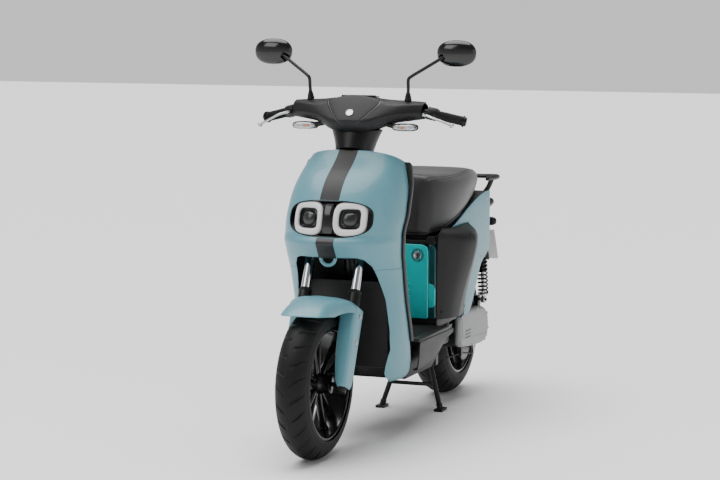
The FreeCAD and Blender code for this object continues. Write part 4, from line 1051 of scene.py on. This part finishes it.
def makeMirrors():
    for name, side in (("left", 1), ("right", -1)):
        base, bend, joint = point(side * 170, -311, 1122.1), point(side * 173, -318, 1194), point(side * 285,
                                                                                                  -281, 1266)
        corner = bend.lerp(base, 0.1)
        after = bend.lerp(joint, 0.07)
        points = [base, base.lerp(bend, 0.6), corner, after, bend.lerp(joint, 0.5), joint]
        arm = sweep("arm", points, [(5.5, 5.5)] * 6, 16, 5, up=Vector((0, 1, 0)))
        boot = turned("boot", [(0, 0.004), (0, 0.0118), (0.004, 0.0122), (0.007, 0.0105), (0.015, 0.0098),
                               (0.017, 0.0084),
                               (0.024, 0.0075), (0.025, 0.004)], base, 32, (bend - base).normalized())
        knob = turned("knob", ballProfile(0.008, 12), joint, 24, closed=False)
        node = "mirror_arm_" + name
        place(joinMeshes("mirrorArm" + name.title(), [arm, boot, knob]), bodyOf[node], "frameBlack",
              "frame_paint", (node,))
        centre = (side * 321, -270, 1275)
        rows = []
        for r in range(15):
            tilt = math.pi / 2 * r / 14
            rows.append(mirrorRing(centre, math.sin(tilt) ** 0.92, -25 * math.cos(tilt)))
        for grow, back in ((1.0, 4), (0.985, 6), (0.955, 6), (0.95, 3.5)):
            rows.append(mirrorRing(centre, grow, back))
        head = gridObject("mirrorHead" + name.title(), rows, around=True, caps=True)
        tidyNormals(head.data, 0.00001)
        socket = turned("socketTool", ballProfile(0.0084, 16), joint, 32, closed=False)
        cutAway(head, socket)
        away = (bend - joint).normalized()
        cutAway(head, turned("channelTool",
                             [(0.003, 0.00001), (0.003, 0.012), (0.07, 0.012), (0.07, 0.00001)], joint,
                             32, away, closed=False))
        body = bodyOf["mirror_" + name]
        place(head, body, "glossBlack", "dark_trim", ("mirror_" + name,), angle=50)
        rows = [mirrorRing(centre, grow, 4.6 + back) for grow, back in
                ((0.948, -1), (0.945, 0), (0.7, 0.25), (0.3, 0.4), (0.02, 0.42))]
        glass = gridObject("mirrorGlass" + name.title(), rows, around=True, caps=True)
        tidyNormals(glass.data)
        place(glass, body, "mirrorGlass", "dark_trim", angle=50)


makeShield()
makeBarCover()
makeNeck()
makeGrips()
makeLevers()
makeSignals()
makeMirrors()
print("steering covers and controls made")

wheels = dict(
    front=dict(tyre="front_tyre", rim="front_rim", y=-695, r=242, w=110, hub=58, pitch=26),
    rear=dict(tyre="rear_tyre", rim="rear_rim", y=610, r=256, w=130, hub=66, pitch=26),
    groove=3.2, bead=180,
)


def tyreDepth(phi, part):
    if part == 0:
        return 0.0
    edge = abs(math.degrees(phi))
    return smoothRead([(0, 0), (7, 0), (14, 1), (45, 1), (58, 0.5), (66, 0), (180, 0)], edge)[0]


def makeTyre(spec):
    half, ring = spec["w"] / 2, spec["r"] - spec["w"] / 2
    pitch = 2 * math.pi / spec["pitch"]
    marks = [(0, 0), (0.16, 0), (0.3, 0), (0.4, 0), (0.46, 1), (0.54, 1), (0.6, 0), (0.7, 0), (0.84, 0),
             (1, 0)]
    limit = math.acos((wheels["bead"] - ring) / half) if abs(wheels["bead"] - ring) < half else math.pi
    phis = [limit * (-1 + 2 * k / 44) for k in range(45)]
    rows = []
    for share, inside in marks:
        row = []
        for phi in phis:
            bend = math.degrees(abs(phi))
            shear = (0.55 * (bend / 60) ** 1.4 + (0.5 if phi > 0 else 0)) * (1 if bend < 200 else 0)
            turn = pitch * (share + shear)
            r = half - wheels["groove"] * tyreDepth(phi, inside) - 1.2 * (abs(bend - 74) < 2)
            out = ring + r * math.cos(phi)
            row.append(point(r * math.sin(phi), out * math.sin(turn), out * math.cos(turn)))
        rows.append(row)
    unit = gridObject("treadUnit", rows)
    tread = repeat(unit, "around", "tyreRubber", Count=spec["pitch"], Turn=0.0)
    inner = []
    for k in range(130):
        turn = 2 * math.pi * k / 130
        row = []
        for phi in (-limit, -limit * 0.75, -limit * 0.4, 0, limit * 0.4, limit * 0.75, limit):
            r = half - (0 if abs(phi) == limit else 7)
            out = ring + r * math.cos(phi)
            row.append(point(r * math.sin(phi), out * math.sin(turn), out * math.cos(turn)))
        inner.append(row)
    inner.append(inner[0])
    liner = gridObject("tyreLiner", inner)
    tidyNormals(liner.data, 0.00001)
    turnInsideOut(liner)
    tidyNormals(tread.data, 0.00004)
    piece = joinMeshes(spec["tyre"].replace("_", "") + "Skin", [tread, liner])
    piece.data.transform(Matrix.Translation(point(0, spec["y"], spec["r"])))
    place(piece, bodyOf[spec["tyre"]], "tyreRubber", "tyre", (spec["tyre"],), angle=40)


def turnInsideOut(piece):
    work = bmesh.new()
    work.from_mesh(piece.data)
    bmesh.ops.reverse_faces(work, faces=work.faces)
    work.to_mesh(piece.data)
    work.free()


def makeRim(spec):
    half = spec["w"] / 2 - 4
    barrel = turned("barrel", [(x * mm, r * mm) for x, r in (
        (-half, 178), (-half + 0.5, 179), (-half + 5, 179), (-half + 7, 177.6), (half - 7, 177.6),
        (half - 5, 179),
        (half - 0.5, 179), (half, 178), (half, 171), (half - 1.5, 169.5), (half - 8, 169.2), (half - 14, 171),
        (-half + 14, 171), (-half + 8, 169.2), (-half + 1.5, 169.5), (-half, 171))], (0, 0, 0), 128)
    hub = turned("hub", [(x * mm, r * mm) for x, r in (
        (-spec["hub"], 8), (-spec["hub"], 26), (-spec["hub"] + 2, 29), (-26, 30), (-20, 34), (20, 34),
        (26, 30),
        (spec["hub"] - 2, 29), (spec["hub"], 26), (spec["hub"], 8))], (0, 0, 0), 64)
    arms = []
    for lean in (-11, 11):
        rows = []
        for r, wide, deep, shift in ((24, 9, 17, 0), (45, 7.4, 14, 4), (90, 6.4, 11.5, 7), (135, 6.6, 11, 5),
                                     (160, 8.2, 12, 1),
                                     (173, 12, 14, 0)):
            ring = []
            for k in range(16):
                a = 2 * math.pi * k / 16
                x = deep * superPower(math.cos(a), 0.7)
                y = wide * superPower(math.sin(a), 0.7)
                t = math.radians(lean)
                ring.append(point(x, r * math.sin(t) + y * math.cos(t), r * math.cos(t) - y * math.sin(t)))
            rows.append(ring)
        arms.append(smoothLoft("spoke", rows, 3, 2))
    pair = joinMeshes("spokePair", arms)
    spokes = repeat(pair, "around", "wheelBlack", Count=5, Turn=0.0)
    piece = joinMeshes(spec["rim"].replace("_", "") + "Skin", [barrel, hub, spokes])
    piece.data.transform(Matrix.Translation(point(0, spec["y"], spec["r"])))
    place(piece, bodyOf[spec["rim"]], "wheelBlack", "black_paint", (spec["rim"],), angle=40)
    valve = turned("valve", [(0, 0.00001), (0, 0.0035), (0.016, 0.0035), (0.018, 0.003), (0.026, 0.003),
                             (0.027, 0.002),
                             (0.027, 0.00001)], point(0, spec["y"], spec["r"] - 170), 16, Vector((0, 0, 1)),
                   closed=False)
    place(valve, bodyOf[spec["rim"]], "softRubber", "rubber")


def makeBrake():
    disc = turned("discSkin", [(-0.062, 0.0125), (-0.062, 0.11), (-0.058, 0.11), (-0.058, 0.0125)],
                  (0, 0, 0), 96)
    small = turned("holeTool", [(-0.07, 0.00001), (-0.07, 0.004), (-0.05, 0.004), (-0.05, 0.00001)],
                   (0, 0, 0.1), 16,
                   closed=False)
    low = turned("holeTool", [(-0.07, 0.00001), (-0.07, 0.004), (-0.05, 0.004), (-0.05, 0.00001)],
                 (0, 0.012, 0.086), 16,
                 closed=False)
    window = turned("holeTool", [(-0.07, 0.00001), (-0.07, 0.015), (-0.05, 0.015), (-0.05, 0.00001)],
                    (0, 0, 0.055), 24,
                    closed=False)
    tools = joinMeshes("discTools", [repeat(small, "around", "steel", Count=16, Turn=0.0),
                                     repeat(low, "around", "steel", Count=16, Turn=0.1),
                                     repeat(window, "around", "steel", Count=6, Turn=0.2)])
    cutAway(disc, tools)
    disc.data.transform(Matrix.Translation(point(0, -695, 242)))
    place(disc, "front_wheel", "steel", "steel", ("brake_disc",))
    bolt = screw("discBolt", (-0.062, 0, 0.034), (-1, 0, 0), 0.006, 0.0016)
    bolts = repeat(bolt, "around", "steel", Count=6, Turn=0.0)
    bolts.data.transform(Matrix.Translation(point(0, -695, 242)))
    place(bolts, "front_wheel", "steel", "steel")
    easedNode("brake_caliper", "castAlloy", 0.0018)


for spec in (wheels["front"], wheels["rear"]):
    makeTyre(spec)
    makeRim(spec)
makeBrake()
print("wheels made")


seat = dict(
    rows=[  # station, half width, underside, top
        (38, 104, 652, 822), (60, 138, 650, 850), (150, 172, 664, 852), (280, 186, 704, 850),
            (400, 178, 737, 855),
        (500, 158, 756, 848), (580, 130, 768, 832), (640, 90, 780, 812),
    ],
    side=[(0, 1.0), (0.3, 0.998), (0.55, 0.99), (0.7, 0.975), (0.8, 0.945), (0.87, 0.905), (0.925, 0.84),
          (0.96, 0.74),
          (0.975, 0.6), (0.97, 0.45), (0.945, 0.27), (0.91, 0.12), (0.885, 0.035), (0.86, 0.0), (0.6, 0.0),
          (0.3, 0.0), (0, 0)],
    seamShare=4.6, steps=60,
)


# a point on the cushion: station y, share round the half section, side of the machine
def seatPoint(y, share, side=1):
    half, under, top = smoothRead(seat["rows"], y)
    end = min(1, max(0.0, (y - 38) / 26), max(0.0, (640 - y) / 40))
    full = math.sqrt(max(0.0, 1 - (1 - end) ** 2.4))
    wide, tall = catmull(seat["side"], share)
    depth = top - under
    middle = under + depth * (0.42 if y < 300 else 0.5)
    z = under + depth * tall
    z = middle + (z - middle) * (0.72 + 0.28 * full)
    return point(side * half * wide * (0.8 + 0.2 * full), y, z)


# stitches along a line that lies on the cushion
def sewOn(name, line):
    wire = meshObject(name, line, [], [(k, k + 1) for k in range(len(line) - 1)])
    wire = repeat(wire, "stitch", "greyPlastic", Spacing=0.0065, Long=0.0044, Thick=0.0007)
    place(wire, "seat", "greyPlastic", "seat_cover")


def makeSeat():
    rows = []
    last = len(seat["side"]) - 1
    stations = [38 + 602 * (0.5 - 0.5 * math.cos(math.pi * k / seat["steps"]))
                for k in range(seat["steps"] + 1)]
    for y in stations:
        right = [seatPoint(y, k / 3, -1) for k in range(3 * last + 1)]
        left = [seatPoint(y, k / 3) for k in range(3 * last + 1)]
        row = left + right[::-1][1:-1]
        rows.append(row)
    # the seam is drawn in as a shallow valley between the top and side covers
    seam = int(seat["seamShare"] * 3)
    for row in rows[3:-3]:
        for k in (seam, len(row) - seam):
            row[k] = row[k] + Vector((-math.copysign(1.4, row[k].x), 0, -1.6)) * mm
    piece = gridObject("seatSkin", rows, around=True, caps=True)
    tidyNormals(piece.data, 0.00001)
    addModifier(piece, "SUBSURF", levels=1, render_levels=1)
    place(piece, "seat", "seatVinyl", "seat_cover", ("seat_cushion",), angle=70)
    for side in (-1, 1):
        tag = tagOf(side)
        for name, share, push in (("seatStitchTop", seat["seamShare"] - 0.32, 0.3),
                                  ("seatStitchSide", seat["seamShare"] + 0.3, 0.35)):
            line = [seatPoint(y, share, side) + Vector((side * push * 0.7, 0, push)) * mm
                    for y in range(62, 622, 6)]
            sewOn(name + tag, line)
        line = [seatPoint(y, 11.6, side) for y in range(60, 626, 10)]
        piping = sweep("seatPiping" + tag, line, [(1.9, 1.9)] * len(line), 10, 1)
        place(piping, "seat", "softRubber", "seat_cover")
    cross = [seatPoint(66, k / 3, side) for side,
             ks in ((-1, range(14, -1, -1)), (1, range(1, 15))) for k in ks]
    sewOn("seatStitchFront", [p + Vector((0, 0, 0.0005)) for p in cross])


panelRows = [  # height, front, rear, widest, x at the front, x at the rear
    (354, 45, 262, 199, 154.6, 176), (420, 45, 285, 208, 154.6, 176), (500, 45, 310, 226, 154.6, 176),
    (573, 45, 330, 243, 155, 176), (618, 45, 341, 247, 157, 176), (640, 46, 345, 238, 158, 175.5),
    (655, 56, 345, 216, 160, 174), (666, 78, 343, 186, 163, 172.4),
]


def panelPoint(z, share, side, out=0.0):
    front, rear, widest, xFront, xRear = smoothRead(panelRows, z)
    length = rear - front
    path = [(xFront, front), (xFront + (widest - xFront) * 0.42, front + length * 0.1),
            (xFront + (widest - xFront) * 0.78, front + length * 0.24), (widest - 1, front + length * 0.42),
            (widest, front + length * 0.56), (xRear + (widest - xRear) * 0.62, rear - length * 0.15),
            (xRear, rear)]
    x, y = catmull(path, share * 6)
    return point(side * (x + out), y, z)


def makeSidePanels():
    for side in (-1, 1):
        tag = tagOf(side)
        rows = []
        for k in range(57):
            z = 354 + 312 * k / 56
            rows.append([panelPoint(z, j / 48, side) for j in range(49)])
        piece = gridObject("sidePanel" + tag, rows)
        tidyNormals(piece.data)
        addModifier(piece, "SOLIDIFY", thickness=0.004, offset=-1 if side > 0 else 1)
        settle(piece)
        tidyNormals(piece.data)
        addModifier(piece, "BEVEL", width=0.0014, segments=2, limit_method="ANGLE",
                    angle_limit=math.radians(50))
        place(piece, "chassis", "darkPlastic", "dark_trim", ("side_panels",) if side > 0 else (), angle=50)
        fix = []
        for z, share in ((380, 0.12), (380, 0.85), (640, 0.5)):
            spot, near = panelPoint(z, share, side), panelPoint(z, share + 0.02, side)
            way = (near - spot).cross(Vector((0, 0, 1))).normalized()
            way = way if way.x * side > 0 else -way
            fix.append(screw("panelScrew", spot - way * 0.001, way, 0.0062, 0.0026))
        place(joinMeshes("panelScrews" + tag, fix), "chassis", "frameBlack", "dark_trim")


tail = dict(outline=[(150, 656), (215, 676), (300, 702), (345, 716), (450, 742), (560, 758), (620, 757),
                     (665, 745), (688, 726), (676, 695), (645, 655),
                     (622, 600), (604, 553), (560, 527), (500, 500), (445, 432), (400, 374), (374, 350),
                     (350, 337), (318, 336),
                     (300, 345), (308, 450), (318, 560), (300, 622), (220, 640)])


def makeTailCovers():
    outline = smoothLoop(tail["outline"], 4)
    for side in (-1, 1):
        tag = tagOf(side)
        made = slab("tailCover" + tag, outline, 167.6, 171.6, "YZ", bevel=0)
        work = bmesh.new()
        work.from_mesh(made.data)
        for y in range(594, 690, 8):
            bmesh.ops.bisect_plane(work, geom=work.verts[:] + work.edges[:] + work.faces[:],
                                   plane_co=(0, y * mm, 0),
                                   plane_no=(0, 1, 0))
        bmesh.ops.triangulate(work, faces=[f for f in work.faces if len(f.verts) > 4])
        for v in work.verts:
            y = v.co.y / mm
            drop = 0.0 if y < 594 else 32 * ((y - 594) / 98) ** 1.3
            v.co.x = side * (v.co.x - drop * mm)
        work.to_mesh(made.data)
        work.free()
        tidyNormals(made.data)
        addModifier(made, "BEVEL", width=0.0018, segments=3, limit_method="ANGLE",
                    angle_limit=math.radians(50))
        place(made, "chassis", "bluePaint", "body_paint", ("tail_covers",) if side > 0 else (), angle=50)
        fix = [screw("tailScrew", point(side * 170.6, y, z), (side, 0, 0), 0.0062, 0.003) for y, z in
               ((325, 356), (505, 526), (560, 728))]
        place(joinMeshes("tailScrews" + tag, fix), "chassis", "steel", "body_paint")


def makeTailShelves():
    shelves = []
    for side in (-1, 1):
        rows = []
        for y in range(300, 591, 15):
            z = smoothRead(seat["rows"], y)[1] - 11
            rows.append([point(side * x, y, z - (3 if x == 166.6 else 0)) for x in (118, 140, 160, 166.6)])
        shelf = gridObject("shelf", rows)
        tidyNormals(shelf.data)
        addModifier(shelf, "SOLIDIFY", thickness=0.002, offset=0)
        shelves.append(shelf)
    place(joinMeshes("tailShelves", shelves), "chassis", "darkPlastic", "dark_trim")


def makeFrontPanel():
    face = [(-122, 356), (122, 356), (126, 360), (126, 588), (123, 602), (112, 610), (98, 613), (-98, 613),
            (-112, 610),
            (-123, 602), (-126, 588), (-126, 360)]
    plate = slab("tealFace", face, 34.3, 42, "XZ", bevel=0.004, segments=4)
    tool = turned("lockTool", [(-0.02, 0.00001), (-0.02, 0.0133), (0.03, 0.0133), (0.03, 0.00001)],
                  point(87, 38, 575), 40,
                  Vector((0, 1, 0)), closed=False)
    cutAway(plate, tool)
    ring = turned("recessTool", [(-0.02, 0.00001), (-0.02, 0.024), (-0.001, 0.024), (-0.001, 0.00001)],
                  point(87, 38, 575), 48,
                  Vector((0, 1, 0)), closed=False)
    cutAway(plate, ring)
    place(plate, "chassis", "tealPaint", "teal_panel", ("front_panel",), angle=50)
    for side in (-1, 1):
        tag = tagOf(side)
        strip = [(side * x, z) for x, z in ((126.6, 356), (149, 356), (152, 362), (152, 592), (147, 606),
                                            (138, 612), (126.6, 613))]
        block = slab("panelStrip" + tag, strip, 36.5, 83, "XZ", bevel=0.003)
        place(block, "chassis", "deepTeal", "teal_panel")
        tab = [(side * x, z) for x,
               z in ((127, 392), (146, 396), (152, 406), (152, 462), (146, 474), (127, 480))]
        place(slab("tealTab" + tag, tab, 35.4, 46, "XZ", bevel=0.003), "chassis", "tealPaint", "teal_panel")
    bezel = turned("lockBezel",
                   [(0, 0.0134), (-0.0012, 0.0185), (-0.0026, 0.019), (-0.0026, 0.021), (0.001, 0.0212),
                                 (0.001, 0.0134)], point(87, 38, 575), 48, Vector((0, 1, 0)))
    place(bezel, "chassis", "greyPlastic", "dark_trim")
    for node, spot, way in (("seat_lock", (87, 32.2, 575), (0, -1, 0)),
                            ("ignition_lock", (-75, -326.6, 850), (0, 1, 0))):
        easedNode(node, "steel", 0.001)
        slot = roundedBlock(node.replace("_", "") + "Slot", spot, (1.1, 0.6, 4.6), 6)
        place(slot, bodyOf[node], "frameBlack", "steel")
    rib = slab("tealRib", [(-60, 470), (60, 470), (62, 474), (60, 478), (-60, 478), (-62, 474)], 33.6, 35,
               "XZ", bevel=0.0006)
    ribs = repeat(rib, "row", "tealPaint", Count=3, Step=(0, 0, -0.022))
    place(ribs, "chassis", "tealPaint", "teal_panel")


def makeTail():
    rail = [(-172, 565, 804), (-174, 610, 804), (-176, 650, 804), (-168, 690, 803), (-150, 715, 802),
            (-122, 729, 800.8),
            (-90, 738, 800), (-45, 741, 800), (0, 742, 800)]
    rail = rail + [(-x, y, z) for x, y, z in rail[-2::-1]]
    size = [(7, 8), (9, 9), (11, 10), (14, 9.4), (17, 9), (19, 8.6), (20, 8.4), (20, 8.4), (20, 8.4)]
    size = size + size[-2::-1]
    bar = sweep("railBar", [point(*p) for p in rail], size, 24, 4)
    stems = [sweep("railStem", [point(side * x, y, z) for x, y,
                                z in ((172, 620, 800), (162, 612, 770), (140, 600, 735), (124, 597, 700),
                                                                     (114, 596, 676))],
                   [(9, 13), (9, 12), (9, 11), (9, 10), (9, 9)], 20, 4, up=Vector((0, 1, 0.2)))
             for side in (-1, 1)]
    place(joinMeshes("grabRailSkin", [bar] + stems), "chassis", "darkPlastic", "frame_paint", ("grab_rail",))
    shell = roundedBlock("tailLens", (0, 812.4, 698), (74.5, 11.8, 21.6), 5)
    place(shell, "chassis", "redLens", "red_lens", ("tail_light",))
    trim = roundedBlock("tailTrim", (0, 807, 698), (77, 8, 24), 5)
    place(trim, "chassis", "glossBlack", "dark_trim")
    easedNode("rear_fender", "darkPlastic", 0.0016)
    easedNode("licence_plate", "plateWhite", 0.0008)
    easedNode("seat_pan", "darkPlastic", 0.0008)


def makeFloor():
    easedNode("floorboard", "darkPlastic", 0.003)
    rib = roundedBlock("floorRib", (0, -226, 334.2), (176, 3.2, 1.5), 4)
    place(repeat(rib, "row", "softRubber", Count=20, Step=(0, 0.0124, 0)), "chassis", "softRubber",
          "dark_trim")
    pan = easedNode("belly_pan", "darkPlastic", 0.0012)
    cutAway(pan, slab("panTool", [(20, 180), (200, 180), (200, 296), (150, 272)], -180, 180, "YZ", bevel=0))
    for side in (-1, 1):
        rings = []
        for y, low, inside in ((-255, 226, 190), (-200, 227, 190), (-120, 234, 189), (-40, 250, 187),
                               (40, 276, 184), (94, 296, 182)):
            ring = [(199.8, 321), (199.6, 312), (198, 300 if low < 290 else 306),
                    (inside + 6, (300 + low) / 2), (inside + 1, low + 5), (inside - 4, low),
                    (inside - 16, low - 0.4), (inside - 16, low + 3), (inside - 6, low + 4),
                    (inside - 3, low + 8), (inside + 2, (300 + low) / 2),
                    (193, 306), (195, 321)]
            rings.append([point(side * x, y, z) for x, z in ring])
        skirt = smoothLoft("sideSkirt" + tagOf(side), rings, 6, 3)
        place(skirt, "chassis", "darkPlastic", "dark_trim", ("side_skirts",) if side > 0 else (), angle=50)
    cowl = [slab("cowlFront", [(-149, 614.5), (149, 614.5), (150, 620), (144, 641), (122, 641), (116, 627),
                                  (-116, 627), (-122, 641), (-144, 641), (-150, 620)], 40, 46, "XZ",
                 bevel=0.002)]
    for side in (-1, 1):
        low, high = sorted((side * 147, side * 151))
        cowl.append(slab("cowlSide", [(40, 560), (52, 643.5), (200, 662), (200, 560)], low, high, "YZ",
                         bevel=0.0015))
    cowl.append(slab("cowlBack", [(-147, 560), (147, 560), (147, 641), (-147, 641)], 62, 66, "XZ",
                     bevel=0.001))
    cowl.append(slab("plinthFront", [(-151, 334.4), (151, 334.4), (151, 356), (-151, 356)], 44, 50, "XZ",
                     bevel=0.001))
    for side in (-1, 1):
        low, high = sorted((side * 150, side * 156))
        cowl.append(slab("plinthSide", [(44, 323), (44, 358), (264, 358), (264, 330)], low, high, "YZ",
                         bevel=0.001))
    place(joinMeshes("underSeatCowl", cowl), "chassis", "darkPlastic", "dark_trim")
    easedNode("wheel_well", "darkPlastic", 0.0012)


case = [(335, 225), (335, 322), (395, 338), (600, 332), (664, 305), (682, 256), (664, 206), (610, 192),
        (480, 198), (380, 208)]


def caseOutline(inset):
    middle = (505, 265)
    loop = smoothLoop(case, 6)
    soft = []
    for k, (y, z) in enumerate(loop):
        i, f = k // 6, (k % 6) / 6
        a, b = case[i], case[(i + 1) % len(case)]
        line = (a[0] + (b[0] - a[0]) * f, a[1] + (b[1] - a[1]) * f)
        soft.append((0.5 * y + 0.5 * line[0], 0.5 * z + 0.5 * line[1]))
    out = []
    count = len(soft)
    for k in range(count):
        a, b, c = soft[k - 1], soft[k], soft[(k + 1) % count]
        way = Vector((c[1] - a[1], a[0] - c[0])).normalized()
        if way.dot(Vector((b[0] - middle[0], b[1] - middle[1]))) < 0:
            way = -way
        out.append((b[0] - way.x * inset, b[1] - way.y * inset))
    return out


def makeDrive():
    rows = []
    for x, inset in ((128.3, 4), (128.3, 0.8), (136, 0.6), (141, 1.6), (145, 4.2), (147.6, 8), (149, 13),
                     (149.6, 20),
                     (149.8, 26)):
        rows.append([point(x, y, z) for y, z in caseOutline(inset)])
    piece = gridObject("driveCoverSkin", rows, around=True, caps=True)
    tidyNormals(piece.data)
    place(piece, "swing", "silverPaint", "silver_paint", ("drive_cover",), angle=40)
    slit = slab("coverVent", [(388, 238), (446, 238), (449, 240.5), (446, 243), (388, 243), (385, 240.5)],
                149.2, 150.6, "YZ",
                bevel=0.0004)
    vents = repeat(slit, "row", "greyPlastic", Count=3, Step=(0, 0.003, 0.012))
    place(vents, "swing", "greyPlastic", "silver_paint")
    ring = [point(131.5, y, z) for y, z in caseOutline(0.3)]
    seal = sweep("coverSeal", ring + ring[:1], [(1.2, 0.8)] * (len(ring) + 1), 8, 1, up=Vector((1, 0, 0)),
                 rounded=False)
    place(seal, "swing", "frameBlack", "frame_paint")
    fix = []
    outline = caseOutline(9)
    for k in range(0, len(outline), 8):
        y, z = outline[k]
        fix.append(screw("caseBolt", point(147.2, y, z), (1, 0, 0), 0.0055, 0.0032))
    place(joinMeshes("caseBolts", fix), "swing", "steel", "steel")
    easedNode("swing_unit", "frameBlack", 0.0)
    easedNode("brake_cable", "softRubber", 0.0)
    easedNode("brake_arm", "steel", 0.0008)


shock = dict(foot=(622, 352), top=(590, 590), x=144)


def makeShocks():
    foot, top = point(0, *shock["foot"]), point(0, *shock["top"])
    way = (top - foot).normalized()
    length = (top - foot).length / mm
    front = way.cross(Vector((1, 0, 0)))
    for side in (-1, 1):
        tag = tagOf(side)
        base = foot + Vector((side * shock["x"] * mm, 0, 0))
        line = []
        turns, low, high = 11.5, 28, length - 48
        for k in range(int(turns * 20) + 1):
            a = 2 * math.pi * k / 20
            up = low + (high - low) * k / (turns * 20)
            line.append(base + way * up * mm + Vector((1, 0, 0)) * math.cos(a) * 0.0169
                        + front * math.sin(a) * 0.0169)
        coil = sweep("shockCoil" + tag, line, [(3, 3)] * len(line), 10, 1, up=way)
        coil = smooth(settle(coil), 40)
        coil.data.materials.append(finishes["frameBlack"])
        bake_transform(coil)
        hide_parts("shock_springs")
    easedNode("shock_rods", "steel", 0.0008)
    easedNode("shock_bodies", "frameBlack", 0.0008)


def makeForkParts():
    easedNode("fork_legs", "frameBlack", 0.0014)
    easedNode("fork_stanchions", "chrome", 0.0)
    easedNode("steering_stem", "frameBlack", 0.001)
    for side in (-1, 1):
        x = side * 85
        seal = turned("dustSeal" + tagOf(side), [(0, 0.0157), (0, 0.0205), (0.002, 0.0214), (0.006, 0.0214),
                                                                       (0.009, 0.019), (0.012, 0.0165),
                                                 (0.012, 0.0157)],
                      forkPoint(x, 0, 300), 48, forkWay)
        place(seal, "fork", "softRubber", "rubber")


makeSeat()
makeSidePanels()
makeTailCovers()
makeTailShelves()
makeFrontPanel()
makeTail()
makeFloor()
makeDrive()
makeShocks()
makeForkParts()
easedNode("centre_stand", "frameBlack", 0.0)
easedNode("storage_box", "darkPlastic", 0.001)
easedNode("battery_pack", "greyPlastic", 0.003)
print("body, seat and rear made")

stage = dict(
    above=0.24, below=0.8,
    lamps=(
        ("keyPanel", (-2.2, -3.6, 4.0), (0, -0.1, 0.6), 2.2, 55),
        ("sidePanel", (4.2, -1.0, 2.2), (0.1, 0, 0.6), 2.0, 14),
    ),
    overhead=dict(lean=(-0.1, -0.16, 0), strength=4.3, spread=1.1),
)


def makeStage():
    floor = gridObject("floor", [[Vector((-30, -30, 0)), Vector((30, -30, 0))],
                                 [Vector((-30, 30, 0)), Vector((30, 30, 0))]])
    tidyNormals(floor.data)
    material = bpy.data.materials.new("paleFloor")
    material.use_nodes = True
    shader = material.node_tree.nodes["Principled BSDF"]
    shader.inputs["Base Color"].default_value = (0.96, 0.96, 0.96, 1)
    shader.inputs["Roughness"].default_value = 0.9
    floor.data.materials.append(material)
    # brighter low down, as in front of a pale backdrop
    world = bpy.data.worlds.new("studio")
    world.use_nodes = True
    tree = world.node_tree
    way = tree.nodes.new("ShaderNodeTexCoord")
    split = tree.nodes.new("ShaderNodeSeparateXYZ")
    level = tree.nodes.new("ShaderNodeMapRange")
    for key, value in (("From Min", 0.0), ("From Max", 0.5), ("To Min", stage["below"]),
                       ("To Max", stage["above"])):
        level.inputs[key].default_value = value
    tree.links.new(way.outputs["Generated"], split.inputs[0])
    tree.links.new(split.outputs["Z"], level.inputs["Value"])
    tree.links.new(level.outputs["Result"], tree.nodes["Background"].inputs["Strength"])
    tree.nodes["Background"].inputs["Color"].default_value = (1, 1, 1, 1)
    bpy.context.scene.world = world
    for name, spot, aim, wide, power in stage["lamps"]:
        light = bpy.data.lights.new(name, "AREA")
        light.shape, light.size, light.energy = "SQUARE", wide, power
        lamp = bpy.data.objects.new(name, light)
        lamp.location = spot
        lamp.rotation_euler = (Vector(aim) - Vector(spot)).to_track_quat("-Z", "Y").to_euler()
        bpy.context.scene.collection.objects.link(lamp)
    light = bpy.data.lights.new("overhead", "SUN")
    light.energy, light.angle = stage["overhead"]["strength"], stage["overhead"]["spread"]
    lamp = bpy.data.objects.new("overhead", light)
    lamp.rotation_euler = stage["overhead"]["lean"]
    bpy.context.scene.collection.objects.link(lamp)


def makeCamera():
    lens = bpy.data.cameras.new("camera")
    lens.lens, lens.sensor_width, lens.clip_end = 107.6, 36, 100
    camera = bpy.data.objects.new("camera", lens)
    camera.location = (2.481, -6.928, 1.415)
    camera.rotation_euler = (math.radians(83.89), math.radians(-0.24), math.radians(20.54))
    bpy.context.scene.collection.objects.link(camera)
    bpy.context.scene.camera = camera


makeStage()
makeCamera()

for name, node in nodes.items():
    if not node.hide_render:
        node.data.materials.clear()
        node.data.materials.append(finishes[slotFinish[slotOf[name]]])
